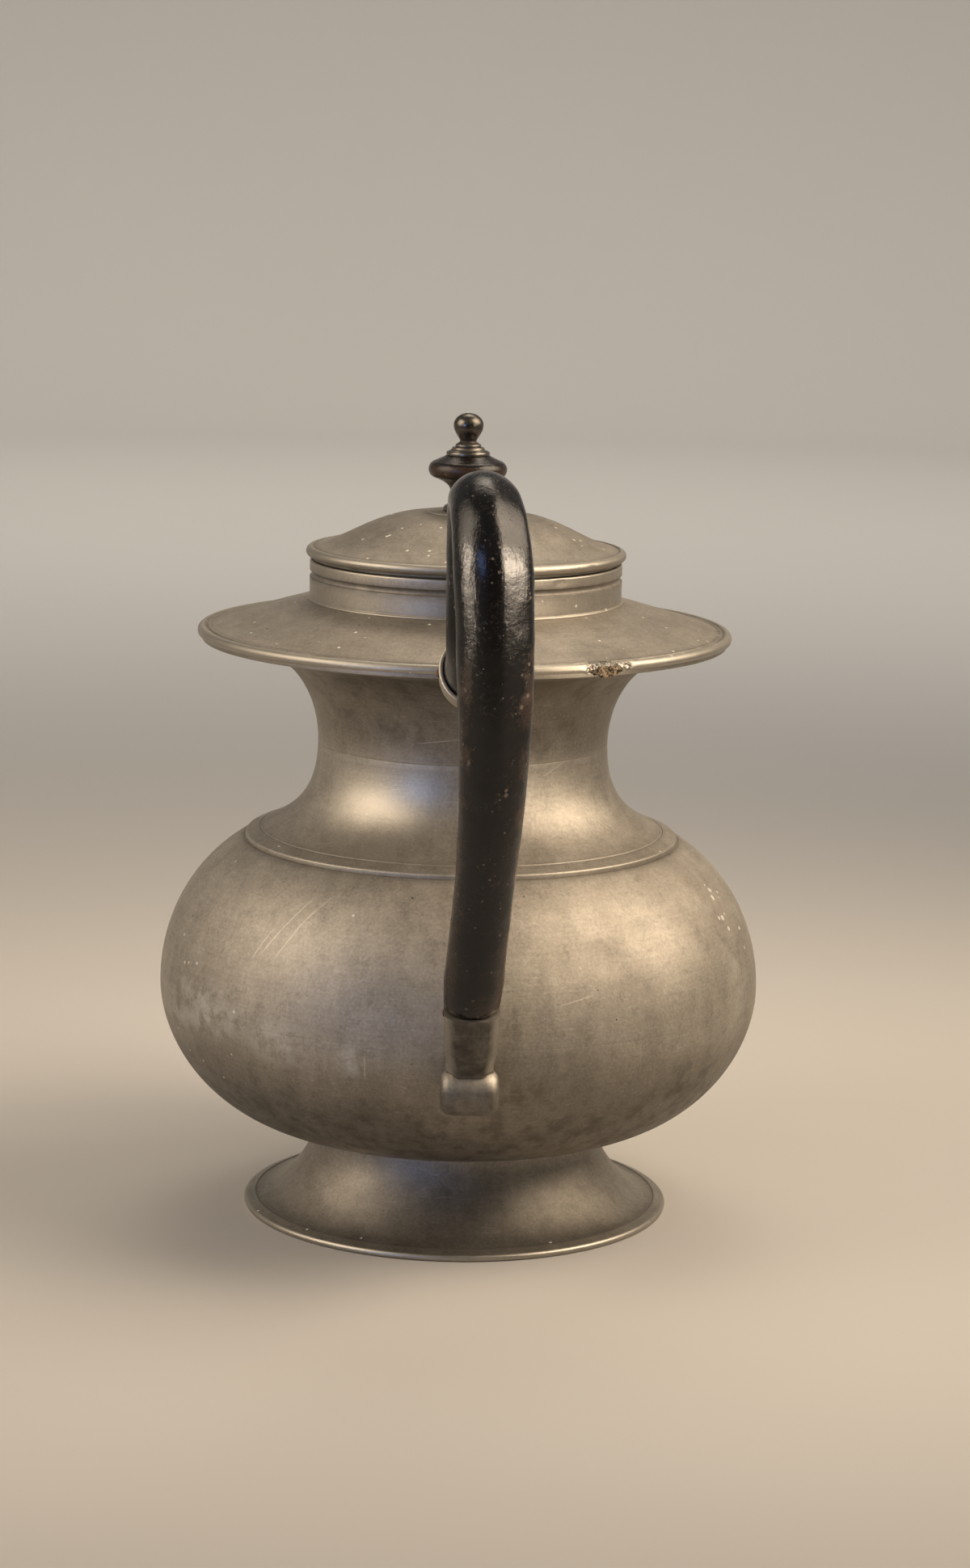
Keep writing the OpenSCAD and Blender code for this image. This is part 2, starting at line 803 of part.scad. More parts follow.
strap_back = concat(
    [for (i = [0 : heel_steps - 1]) on_bowl(tail_at[1] + (strap_top_z - tail_at[1]) * i / heel_steps)],
    bezier([
        on_bowl(strap_top_z),
        on_bowl(strap_top_z) + [0, back_lead],
        mouth_back - back_lead * heel_axis,
        mouth_back
    ], heel_steps)
);
function heel_section(i) =
    let (
        front = strap_front[i],
        back = strap_back[i],
        d = (front - back) / norm(front - back),
        h = lookup(i / (2 * heel_steps), [
            [0, strap_w / 2],
            [0.35, strap_w / 2 - 0.1],
            [0.62, heel_half - 0.2],
            [1, heel_half]
        ]),
        c = strap_chamfer,
        e = heel_back_chamfer,
        outline = [
            [e - h, back],
            [h - e, back],
            [h, back + e * d],
            [h, front - c * d],
            [h - c, front],
            [c - h, front],
            [-h, front - c * d],
            [-h, back + e * d]
        ]
    )
        [for (p = outline) [p[0], -p[1][0], p[1][1]]];

module lower_socket() {
    color(pewter)
        difference() {
            union() {
                skin([for (i = [0 : 2 * heel_steps]) heel_section(i)], false, false);
                translate([-tail_w / 2, -tail_at[0], tail_at[1]])
                    rotate([0, 90, 0])
                        rotate_extrude()
                            polygon([
                                [0, 0],
                                [tail_r - tail_bevel, 0],
                                [tail_r, tail_bevel],
                                [tail_r, tail_w - tail_bevel],
                                [tail_r - tail_bevel, tail_w],
                                [0, tail_w]
                            ]);
            }
            in_handle_plane(heel_foot, heel_tilt)
                cylinder(h = far, r = heel_bore_r);
            cross_pin(heel_mouth - heel_pin_depth * heel_axis, far, cross_pin_r + pin_gap);
        }
}

module handle_grip() {
    color(black_wood)
        difference() {
            skin(grip_rings, false, true);
            cross_pin(cup_mouth - cup_pin_depth * cup_axis, far, cross_pin_r + pin_gap);
            cross_pin(heel_mouth - heel_pin_depth * heel_axis, far, cross_pin_r + pin_gap);
        }
}

module upper_handle_pin() {
    color(iron)
        cross_pin(cup_mouth - cup_pin_depth * cup_axis, cup_r + cross_pin_proud, cross_pin_r);
}

module lower_handle_pin() {
    color(iron)
        cross_pin(heel_mouth - heel_pin_depth * heel_axis, heel_half + cross_pin_proud, cross_pin_r);
}

// A length of the hinge barrel, from one place along X to another
module barrel(from, to, r) {
    translate([from, hinge_y, hinge_z])
        rotate([0, 90, 0])
            cylinder(h = to - from, r = r);
}

module hinge_collar_leaf() {
    outer = hinge_l / 2;
    inner = knuckle_l / 2 + knuckle_gap;
    leaf_bottom = collar_z + 1.2;
    leaf_top = collar_top_z - 0.2;
    web_top = lid_rim_z - lid_gap - 0.1;
    web_h = 3.4;
    color(dark_pewter)
        difference() {
            union() {
                intersection() {
                    translate([0, 0, leaf_bottom])
                        cylinder(h = leaf_top - leaf_bottom, r = leaf_r + leaf_t);
                    translate([-outer, -far, 0])
                        cube([2 * outer, far, far]);
                }
                for (side = [-1, 1])
                    barrel(
                        side > 0 ? inner : -outer,
                        side > 0 ? outer : -inner,
                        hinge_r
                    );
                for (side = [-1, 1])
                    translate([
                        side > 0 ? inner : -outer,
                        hinge_y - hinge_r,
                        web_top - web_h
                    ])
                        cube([outer - inner, 2 * hinge_r + 1.2, web_h]);
            }
            translate([0, 0, leaf_bottom - 1])
                cylinder(h = far, r = leaf_r);
            barrel(-hinge_l, hinge_l, hinge_pin_r + hinge_fit);
        }
}

module hinge_pin() {
    color(iron)
        barrel(-hinge_l / 2, hinge_l / 2, hinge_pin_r);
}

module hinge_lid_leaf() {
    strap_in = 5;
    strap_top = hinge_z + hinge_r;
    color(dark_pewter)
        difference() {
            union() {
                barrel(-knuckle_l / 2, knuckle_l / 2, hinge_r);
                translate([-knuckle_l / 2, hinge_y, hinge_z + 0.3])
                    cube([knuckle_l, strap_in, hinge_r - 0.3]);
            }
            turned(concat(
                [[0, lid_rim_z]],
                inset(lid_rim, -solder),
                [[lid_r - lid_rim_w, strap_top + 1], [0, strap_top + 1]]
            ));
            barrel(-hinge_l, hinge_l, hinge_pin_r + hinge_fit);
        }
}

module lid() {
    color(pewter)
        turned(concat(
            [
                [rod_bore_r, lid_nut_z],
                [lid_boss_r - 0.5, lid_nut_z]
            ],
            reversed(lid_under),
            [
                [bezel_r - bezel_wall - 0.3, bezel_top_z],
                [collar_bore_r, bezel_top_z],
                [collar_bore_r, lid_seat_z],
                [collar_r - 0.6, lid_seat_z],
                [collar_r - 0.6, lid_rim_z]
            ],
            tail(lid_rim),
            lid_dome,
            [[lid_boss_r - 0.2, lid_top_z], [rod_bore_r, lid_top_z]]
        ));
}

module lid_bezel() {
    color(pewter)
        difference() {
            translate([0, 0, lid_seat_z - bezel_drop])
                cylinder(h = bezel_top_z - lid_seat_z + bezel_drop, r = bezel_r);
            translate([0, 0, lid_seat_z - bezel_drop - 1])
                cylinder(h = far, r = bezel_r - bezel_wall);
        }
}

module finial_seat() {
    color(dark_pewter)
        turned([
            [rod_bore_r, lid_top_z],
            [seat_r, lid_top_z],
            [seat_r, lid_top_z + 0.3 * seat_h],
            [seat_r - 0.6, lid_top_z + 0.6 * seat_h],
            [stem_r + 0.4, seat_top_z],
            [rod_bore_r, seat_top_z]
        ]);
}

// Wooden knob: a waisted stem that spreads into a disc with a round edge
knob_edge_w = 2.6;
knob_edge_h = 2.5;
knob_edge_from_angle = -60;
knob_edge_to_angle = 75;
knob_under_in = 2.5;
knob_under_h = 2.6;
knob_under_lead = [-3.7, -1.6];
stem_waist = 0.6;
stem_lead_h = 3.5;
knob_bevel_w = 0.6;
knob_bevel_h = 0.4;
module finial_knob() {
    widest_z = seat_top_z + 0.7 * knob_h;
    under = [knob_r - knob_under_in, widest_z - knob_under_h];
    color(brown_wood)
        turned(concat(
            [[rod_bore_r, seat_top_z], [stem_r, seat_top_z]],
            tail(bezier([
                [stem_r, seat_top_z],
                [stem_r - stem_waist, seat_top_z + stem_lead_h],
                under + knob_under_lead,
                under
            ], 12)),
            ellipse_arc(
                [knob_r - knob_edge_w, widest_z], knob_edge_w, knob_edge_h,
                knob_edge_from_angle, knob_edge_to_angle, 12
            ),
            [
                [washer_r + knob_bevel_w, knob_top_z - knob_bevel_h],
                [washer_r, knob_top_z],
                [rod_bore_r, knob_top_z]
            ]
        ));
}

module finial_washer() {
    color(dark_pewter)
        turned([
            [rod_bore_r, knob_top_z],
            [washer_r, knob_top_z],
            [washer_r, knob_top_z + 0.4 * washer_h],
            [washer_r - 0.9, knob_top_z + 0.6 * washer_h],
            [washer_r - 1.5, knob_top_z + 0.7 * washer_h],
            [washer_r - 1.7, washer_top_z],
            [rod_bore_r, washer_top_z]
        ]);
}

module finial_button() {
    ring_half = washer_r - 2.5;
    ring_h = 0.7;
    neck_at = washer_top_z + 1.7;
    neck_half = 2.25;
    ball_half_h = 0.8 * button_r;
    ball_z = button_top_z - ball_half_h;
    color(dark_pewter)
        turned(concat(
            [
                [0, nut_top_z - nut_h - rod_tail],
                [rod_r, nut_top_z - nut_h - rod_tail],
                [rod_r, washer_top_z],
                [ring_half, washer_top_z],
                [ring_half, washer_top_z + ring_h],
                [neck_half + 0.3, neck_at - 0.4]
            ],
            bezier([
                [neck_half, neck_at],
                [neck_half + 0.3, neck_at + 1],
                [button_r, ball_z - 2],
                [button_r, ball_z]
            ], 12),
            tail(ellipse_arc([0, ball_z], button_r, ball_half_h, 0, quarter_turn, 12))
        ));
}

module finial_nut() {
    color(dark_pewter)
        translate([0, 0, nut_top_z - nut_h])
            difference() {
                cylinder(h = nut_h, r = nut_w / sqrt(3), $fn = 6);
                translate([0, 0, -1])
                    cylinder(h = far, r = rod_bore_r);
            }
}

foot();
lower_bowl();
upper_bowl();
neck();
flare();
brim();
collar();
spout_left();
spout_right();
upper_socket();
lower_socket();
handle_grip();
upper_handle_pin();
lower_handle_pin();
hinge_collar_leaf();
hinge_pin();
hinge_lid_leaf();
lid();
lid_bezel();
finial_seat();
finial_knob();
finial_washer();
finial_button();
finial_nut();
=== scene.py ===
import bisect
import json
import math

import bmesh
import bpy
from mathutils import Matrix, Vector, noise

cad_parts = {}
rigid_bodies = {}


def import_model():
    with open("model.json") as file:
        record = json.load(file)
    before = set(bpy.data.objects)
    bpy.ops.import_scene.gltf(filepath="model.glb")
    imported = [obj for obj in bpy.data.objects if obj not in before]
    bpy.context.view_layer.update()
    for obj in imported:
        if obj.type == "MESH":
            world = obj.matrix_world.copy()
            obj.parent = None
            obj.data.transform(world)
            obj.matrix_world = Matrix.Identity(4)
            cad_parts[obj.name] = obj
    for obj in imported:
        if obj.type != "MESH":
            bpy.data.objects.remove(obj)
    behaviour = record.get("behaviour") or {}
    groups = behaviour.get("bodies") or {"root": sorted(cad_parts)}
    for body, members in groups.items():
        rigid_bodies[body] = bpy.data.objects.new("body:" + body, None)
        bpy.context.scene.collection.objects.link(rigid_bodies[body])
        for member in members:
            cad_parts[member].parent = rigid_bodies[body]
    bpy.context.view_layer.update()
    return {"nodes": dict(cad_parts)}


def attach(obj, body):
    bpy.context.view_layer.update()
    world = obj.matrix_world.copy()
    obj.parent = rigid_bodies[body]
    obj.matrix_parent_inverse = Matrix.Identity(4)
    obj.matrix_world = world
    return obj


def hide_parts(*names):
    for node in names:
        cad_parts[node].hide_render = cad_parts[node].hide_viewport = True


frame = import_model()
scene = bpy.context.scene
mm = 0.001
print("frame:", len(frame["nodes"]), "nodes loaded")


# curves in the plane of radius and height, in millimetres, drawn from the bottom up
def bezier(a, b, c, d, steps=28):
    points = []
    for i in range(steps + 1):
        t = i / steps
        s = 1 - t
        weights = (s ** 3, 3 * s * s * t, 3 * s * t * t, t ** 3)
        points.append(tuple(sum(w * p[k] for w, p in zip(weights, (a, b, c, d))) for k in (0, 1)))
    return points


def arc(centre, a, b, start, stop, steps=16):  # angles in degrees
    angles = [math.radians(start + (stop - start) * i / steps) for i in range(steps + 1)]
    return [(centre[0] + a * math.cos(t), centre[1] + b * math.sin(t)) for t in angles]


def moved(path, distance):  # to the left of its travel
    out = []
    for i, point in enumerate(path):
        ahead = Vector(path[min(i + 1, len(path) - 1)]) - Vector(path[max(i - 1, 0)])
        ahead.normalize()
        out.append((point[0] - distance * ahead.y, point[1] + distance * ahead.x))
    return out


def readAt(pairs, x):
    if x <= pairs[0][0]:
        return pairs[0][1]
    for (x0, y0), (x1, y1) in zip(pairs, pairs[1:]):
        if x <= x1:
            return y0 + (y1 - y0) * (x - x0) / max(x1 - x0, 1e-9)
    return pairs[-1][1]


def radiusAt(path, height):
    return readAt([(p[1], p[0]) for p in path], height)


def between(path, low, high):  # the part of a rising path from one height to another
    inside = [p for p in path if low + 0.05 < p[1] < high - 0.05]
    return [(radiusAt(path, low), low)] + inside + [(radiusAt(path, high), high)]


def along(degrees):
    return Vector((math.cos(math.radians(degrees)), math.sin(math.radians(degrees))))


def softened(points, radius, closed):  # rounds the corners of an outline
    points = [p for i, p in enumerate(points) if i == 0 or math.dist(p, points[i - 1]) > 1e-3]
    out = []
    for i, point in enumerate(points):
        here = Vector(point)
        if not closed and i in (0, len(points) - 1):
            out.append(here)
            continue
        back = Vector(points[i - 1]) - here
        ahead = Vector(points[(i + 1) % len(points)]) - here
        if math.pi - back.angle(ahead) < 0.35:
            out.append(here)
            continue
        cut = min(radius, 0.45 * back.length, 0.45 * ahead.length)
        start = here + cut * back.normalized()
        stop = here + cut * ahead.normalized()
        for k in range(5):
            t = k / 4
            out.append((1 - t) ** 2 * start + 2 * t * (1 - t) * here + t * t * stop)
    return out


def spaced(points, gap, closed):  # no step along the outline longer than gap
    out = []
    ends = points[1:] + points[:1] if closed else points[1:]
    for a, b in zip(points, ends):
        steps = max(1, math.ceil((b - a).length / gap))
        out += [a.lerp(b, k / steps) for k in range(steps)]
    return out if closed else out + [points[-1]]


def edgeMarks(points, closed):  # hollow corners hold dirt and are painted darker as shade, raised ones are rubbed bright
    count = len(points)
    turns = []
    places = [0.0]
    for i in range(count):
        ahead = points[(i + 1) % count] - points[i]
        back = points[i] - points[i - 1]
        places.append(places[-1] + ahead.length)
        atEnd = not closed and i in (0, count - 1)
        turns.append(0 if atEnd else math.atan2(back.x * ahead.y - back.y * ahead.x, back.dot(ahead)))
    side = 1 if sum(turns) > 0 else -1
    marks = []
    # the darkening, dirt with painted shade, reaches 1.3 mm from a hollow corner, rubbing 0.8 mm from a
    # raised one
    for sign, reach in ((-side, 1.3), (side, 0.8)):
        row = []
        for i in range(count):
            total = 0
            for j in range(count):
                if sign * turns[j] > 0:
                    apart = abs(places[i] - places[j])
                    apart = min(apart, places[-1] - apart) if closed else apart
                    total += abs(turns[j]) * math.exp(-apart / reach)
            share = min(max((total - 0.3) / 0.9, 0), 1)
            row.append(share * share * (3 - 2 * share))
        marks.append(row)
    return marks


def addNode(tree, kind, inputs=None, **settings):  # a node given as an input stands for its first live output
    node = tree.nodes.new(kind)
    for name, value in settings.items():
        setattr(node, name, value)
    for name, value in (inputs or {}).items():
        if isinstance(value, bpy.types.Node):
            value = next(socket for socket in value.outputs if socket.enabled)
        if isinstance(value, bpy.types.NodeSocket):
            tree.links.new(value, node.inputs[name])
        else:
            node.inputs[name].default_value = value
    return node


def newTree(name, inputs):
    tree = bpy.data.node_groups.new(name, "GeometryNodeTree")
    for label, kind in inputs.items():
        tree.interface.new_socket(label, in_out="INPUT", socket_type="NodeSocket" + kind)
    tree.interface.new_socket("Piece", in_out="OUTPUT", socket_type="NodeSocketGeometry")
    return tree, addNode(tree, "NodeGroupInput").outputs


def endTree(tree, geometry, finish):
    whole = addNode(tree, "GeometryNodeRealizeInstances", {"Geometry": geometry})
    smooth = addNode(tree, "GeometryNodeSetShadeSmooth", {"Geometry": whole})
    painted = addNode(tree, "GeometryNodeSetMaterial", {"Geometry": smooth, "Material": finish})
    addNode(tree, "NodeGroupOutput", {"Piece": painted})
    return tree


# a turned piece: the outline is carried round a small hub circle on the pot's axis
def makeTurnTree():
    tree, given = newTree("turnedPiece", {"Outline": "Geometry", "Turns": "Int", "Hub": "Float",
                                          "Finish": "Material"})
    outline = addNode(tree, "GeometryNodeMeshToCurve", {"Mesh": given["Outline"]})
    hub = addNode(tree, "GeometryNodeCurvePrimitiveCircle",
                  {"Resolution": given["Turns"], "Radius": given["Hub"]}, mode="RADIUS")
    upright = addNode(tree, "GeometryNodeSetCurveNormal", {"Curve": hub}, mode="Z_UP")
    skin = addNode(tree, "GeometryNodeCurveToMesh", {"Curve": upright, "Profile Curve": outline})
    poles = addNode(tree, "GeometryNodeMergeByDistance", {"Geometry": skin, "Distance": 2e-6})
    return endTree(tree, poles, given["Finish"])


# a shaped bar: a round section follows the spine, then is widened and bowed sideways
def makeBarTree():
    tree, given = newTree("shapedBar", {"Spine": "Geometry", "Sides": "Int", "Finish": "Material"})
    spine = addNode(tree, "GeometryNodeMeshToCurve", {"Mesh": given["Spine"]})
    section = addNode(tree, "GeometryNodeCurvePrimitiveCircle",
                      {"Resolution": given["Sides"], "Radius": 1.0}, mode="RADIUS")
    read = {name: addNode(tree, "GeometryNodeInputNamedAttribute", {"Name": name}, data_type="FLOAT")
            for name in ("halfDepth", "widen", "bow")}
    skin = addNode(tree, "GeometryNodeCurveToMesh",
                   {"Curve": spine, "Profile Curve": section, "Scale": read["halfDepth"], "Fill Caps": True})
    place = addNode(tree, "GeometryNodeInputPosition")
    apart = addNode(tree, "ShaderNodeSeparateXYZ", {"Vector": place}).outputs
    wide = addNode(tree, "ShaderNodeMath", {0: apart["X"], 1: read["widen"], 2: read["bow"]},
                   operation="MULTIPLY_ADD")
    shaped = addNode(tree, "ShaderNodeCombineXYZ", {"X": wide, "Y": apart["Y"], "Z": apart["Z"]})
    bar = addNode(tree, "GeometryNodeSetPosition", {"Geometry": skin, "Position": shaped})
    return endTree(tree, bar, given["Finish"])


# strainer holes: drills set on the points of a staggered grid
def makeDrillTree():
    tree, given = newTree("strainerDrills", {"Places": "Geometry", "Radius": "Float", "Depth": "Float",
                                             "Finish": "Material"})
    drill = addNode(tree, "GeometryNodeMeshCylinder",
                    {"Vertices": 24, "Radius": given["Radius"], "Depth": given["Depth"]})
    drills = addNode(tree, "GeometryNodeInstanceOnPoints",
                     {"Points": given["Places"], "Instance": drill, "Rotation": (math.pi / 2, 0, 0)})
    return endTree(tree, drills, given["Finish"])


def plainMesh(holder):
    graph = bpy.context.evaluated_depsgraph_get()
    mesh = bpy.data.meshes.new_from_object(holder.evaluated_get(graph))
    bpy.data.objects.remove(holder)
    return mesh


def held(mesh):
    holder = bpy.data.objects.new(mesh.name + "Blank", mesh)
    scene.collection.objects.link(holder)
    return holder


def grown(source, tree, values):  # runs a node tree and keeps the plain mesh
    holder = held(source)
    modifier = holder.modifiers.new("grow", "NODES")
    modifier.node_group = tree
    for socket in tree.interface.items_tree:
        if socket.in_out == "INPUT" and socket.name in values:
            modifier[socket.identifier] = values[socket.name]
    return plainMesh(holder)


def worked(mesh, kind, **settings):  # one modifier, applied
    holder = held(mesh)
    modifier = holder.modifiers.new("work", kind)
    for name, value in settings.items():
        setattr(modifier, name, value)
    return plainMesh(holder)


def combined(mesh, tool, operation):
    tool = held(tool)
    mesh = worked(mesh, "BOOLEAN", object=tool, operation=operation, solver="EXACT")
    bpy.data.objects.remove(tool)
    return mesh


def cleaned(mesh, sharp=40):
    shape = bmesh.new()
    shape.from_mesh(mesh)
    bmesh.ops.remove_doubles(shape, verts=shape.verts, dist=2e-6)
    bmesh.ops.dissolve_degenerate(shape, edges=shape.edges, dist=1e-7)
    bmesh.ops.recalc_face_normals(shape, faces=shape.faces)
    shape.to_mesh(mesh)
    shape.free()
    mesh.shade_smooth()
    mesh.set_sharp_from_angle(angle=math.radians(sharp))
    return mesh


def setLayer(mesh, name, values):
    layer = mesh.attributes.get(name) or mesh.attributes.new(name, "FLOAT", "POINT")
    layer.data.foreach_set("value", values)


def chain(name, points, closed=False):  # edges from point to point
    count = len(points)
    mesh = bpy.data.meshes.new(name)
    mesh.from_pydata(points, [(i, (i + 1) % count) for i in range(count if closed else count - 1)], [])
    return mesh


def turned(name, outline, finish, turns=192, edge=0.35, gap=1.3, hub=1.0, rubbed=1.0):
    closed = outline[0][0] > 0 or outline[-1][0] > 0
    points = spaced(softened(outline, edge, closed), gap, closed)
    mesh = chain(name, [((p.x - hub) * mm, -p.y * mm, 0) for p in points], closed)
    for label, values in zip(("grimeAndShade", "wearAndSheen"), edgeMarks(points, closed)):
        setLayer(mesh, label, [rubbed * value for value in values])
    return cleaned(grown(mesh, turnTree, {"Turns": turns, "Hub": hub * mm, "Finish": finish}))


def lofted(name, rings, loop=False):  # a skin over rings of points in millimetres
    size = len(rings[0])
    shape = bmesh.new()
    rows = [[shape.verts.new(Vector(p) * mm) for p in ring] for ring in rings]
    for a, b in zip(rows, rows[1:] + rows[:1] if loop else rows[1:]):
        for j in range(size):
            k = (j + 1) % size
            shape.faces.new((a[j], a[k], b[k], b[j]))
    if not loop:
        shape.faces.new(rows[0][::-1])
        shape.faces.new(rows[-1])
    mesh = bpy.data.meshes.new(name)
    shape.to_mesh(mesh)
    shape.free()
    return cleaned(mesh)


def addPiece(name, mesh, finish, body, slot, *nodes):
    mesh.materials.clear()
    mesh.materials.append(finish)
    mesh.name = name
    piece = bpy.data.objects.new(name, mesh)
    scene.collection.objects.link(piece)
    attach(piece, body)
    if nodes:
        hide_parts(*nodes)


def toLinear(code):
    parts = [int(code[i:i + 2], 16) / 255 for i in (1, 3, 5)]
    return tuple(c / 12.92 if c <= 0.04045 else ((c + 0.055) / 1.055) ** 2.4 for c in parts) + (1.0,)


def newMaterial(name):
    material = bpy.data.materials.new(name)
    material.use_nodes = True
    tree = material.node_tree
    tree.nodes.clear()
    return material, tree


def endMaterial(material, tree, sockets):
    shader = addNode(tree, "ShaderNodeBsdfPrincipled", sockets)
    addNode(tree, "ShaderNodeOutputMaterial", {"Surface": shader})
    return material


# each layer covers its share of what lies below it with its own colour and levels
def paintLayers(tree, shares, layers, values):
    for share, amount, code, *levels in layers:
        part = addNode(tree, "ShaderNodeMath", {0: shares[share], 1: amount}, operation="MULTIPLY",
                       use_clamp=True)
        tint = addNode(tree, "ShaderNodeMix", {0: part, 6: values[0], 7: toLinear(code)}, data_type="RGBA")
        values = [tint] + [addNode(tree, "ShaderNodeMix", {0: part, 2: below, 3: level})
                           for below, level in zip(values[1:], levels)]
    return values


# bumps laid over each other, each with a height or, below nought, a depth in millimetres
def addRelief(tree, rows):
    below = {}
    for pattern, height in rows:
        bump = addNode(tree, "ShaderNodeBump",
                       {"Height": pattern, "Distance": abs(height) * mm, "Strength": 1.0, **below},
                       invert=height < 0)
        below = {"Normal": bump}
    return bump


# cast pewter, turned and burnished, then dulled by age: a warm grey satin metal with fine turning
# lines, cloudy oxide, dark pits, stray scratches, dirt with painted shade in the corners, bright rubbed
# edges, and painted shade, dark reflection and sheen
def makePewter(name, look):
    material, tree = newMaterial(name)
    coords = addNode(tree, "ShaderNodeTexCoord").outputs
    place = coords["Object"]
    apart = addNode(tree, "ShaderNodeSeparateXYZ", {"Vector": place}).outputs
    level = addNode(tree, "ShaderNodeVectorMath", {0: place, 1: (1, 1, 0)}, operation="MULTIPLY")
    reach = addNode(tree, "ShaderNodeVectorMath", {0: level}, operation="LENGTH")
    aim = addNode(tree, "ShaderNodeVectorMath", {0: level}, operation="NORMALIZE")
    # turning lines 0.5 mm apart, drawn coarser than the tool left them so that they show
    ringPlace = addNode(tree, "ShaderNodeMath", {0: reach, 1: 0.7, 2: apart["Z"]}, operation="MULTIPLY_ADD")
    ringScaled = addNode(tree, "ShaderNodeMath", {0: ringPlace, 1: 1 / (0.5 * mm)}, operation="MULTIPLY")
    sweep = addNode(tree, "ShaderNodeSeparateXYZ", {"Vector": aim}).outputs
    lineSpace = addNode(tree, "ShaderNodeCombineXYZ", {"X": sweep["X"], "Y": sweep["Y"], "Z": ringScaled})
    lineStretch = addNode(tree, "ShaderNodeVectorMath", {0: lineSpace, 1: (2.4, 2.4, 1)},
                          operation="MULTIPLY")
    # bands left by a wiping cloth, 5 mm wide and 45 mm long, falling to the left
    wipeSpace = addNode(tree, "ShaderNodeMapping",
                        {"Vector": place, "Rotation": (0.2, 0.75, 0.3),
                         "Scale": (1 / (5 * mm), 1 / (9 * mm), 1 / (45 * mm))})
    # clouds of oxide, a fine mottle, slow waves of hand work and the sandy grain of the cast skin,
    # drawn at 0.8 mm so that it shows
    noises = {part: addNode(tree, "ShaderNodeTexNoise",
                            {"Vector": space, "Scale": scale, "Detail": detail, "Roughness": roughness})
              for part, space, scale, detail, roughness in (
                  ("lines", lineStretch, 1.0, 2.0, 0.6), ("wipe", wipeSpace, 1.0, 3.0, 0.6),
                  ("clouds", place, 1 / (38 * mm), 5.0, 0.6), ("mottle", place, 1 / (5 * mm), 6.0, 0.65),
                  ("grain", place, 1 / (0.8 * mm), 2.0, 0.7), ("waves", place, 1 / (24 * mm), 1.0, 0.5))}
    cloudy, stained, bloomEdge = (
        addNode(tree, "ShaderNodeMapRange", {"Value": noises[part], "From Min": low, "From Max": high})
        for part, low, high in (("clouds", 0.36, 0.66), ("mottle", 0.5, 0.78), ("mottle", 0.42, 0.62)))
    # scratches: thin streaks about 0.3 mm wide and 25 mm long, in three directions
    scratch = 0.0
    for turn in ((0.4, 0.9, 0.3), (1.3, -0.5, 2.1), (-0.7, 0.2, 1.2)):
        tilted = addNode(tree, "ShaderNodeMapping",
                         {"Vector": place, "Rotation": turn,
                          "Scale": (1 / (25 * mm), 1 / (0.8 * mm), 1 / (0.8 * mm))})
        streak = addNode(tree, "ShaderNodeTexNoise", {"Vector": tilted, "Scale": 1.0, "Detail": 0.0})
        thin = addNode(tree, "ShaderNodeMapRange",
                       {"Value": streak, "From Min": 0.79, "From Max": 0.84, "To Max": 0.4})
        scratch = addNode(tree, "ShaderNodeMath", {0: scratch, 1: thin}, operation="MAXIMUM")
    # single long scratches: angle and height of the middle, distance from the axis, tilt, length, width
    for angle, height, away, tilt, length, width in look["scratches"]:
        out, up = along(angle).to_3d(), Vector((0, 0, 1))
        run = math.cos(math.radians(tilt)) * Vector((-out.y, out.x, 0)) + math.sin(math.radians(tilt)) * up
        turn = Matrix((run, out.cross(run), out)).transposed().to_euler()
        local = addNode(tree, "ShaderNodeMapping",
                        {"Vector": place, "Location": (away * out + height * up) * mm, "Rotation": turn},
                        vector_type="TEXTURE")
        offset = addNode(tree, "ShaderNodeVectorMath", {0: local}, operation="ABSOLUTE")
        # inputs 7 to 10 are the ends of the vector's two ranges
        within = addNode(tree, "ShaderNodeMapRange",
                         {"Vector": offset, 7: Vector((0.3 * length, 0.3 * width, 20)) * mm,
                          8: Vector((0.5 * length, 0.7 * width, 25)) * mm, 9: (1, 1, 1), 10: (0, 0, 0)},
                         data_type="FLOAT_VECTOR")
        sides = addNode(tree, "ShaderNodeSeparateXYZ", {"Vector": within}).outputs
        line = addNode(tree, "ShaderNodeMath", {0: sides["X"], 1: sides["Y"]}, operation="MULTIPLY")
        scratch = addNode(tree, "ShaderNodeMath", {0: line, 1: sides["Z"], 2: scratch},
                          operation="MULTIPLY_ADD", use_clamp=True)
    # pits about 0.5 mm across in one cell out of four of a 5 mm pattern
    pitCells = addNode(tree, "ShaderNodeTexVoronoi", {"Vector": place, "Scale": 1 / (5 * mm)}).outputs
    pitDraw = addNode(tree, "ShaderNodeSeparateColor", {"Color": pitCells["Color"]}).outputs
    pitSize = addNode(tree, "ShaderNodeMapRange",
                      {"Value": pitDraw["Red"], "From Min": 0.72, "From Max": 1.0, "To Max": 0.075})
    pitEdge = addNode(tree, "ShaderNodeMath", {0: pitSize, 1: pitCells["Distance"]}, operation="SUBTRACT")
    pits = addNode(tree, "ShaderNodeMapRange", {"Value": pitEdge, "From Min": -0.01, "From Max": 0.02})
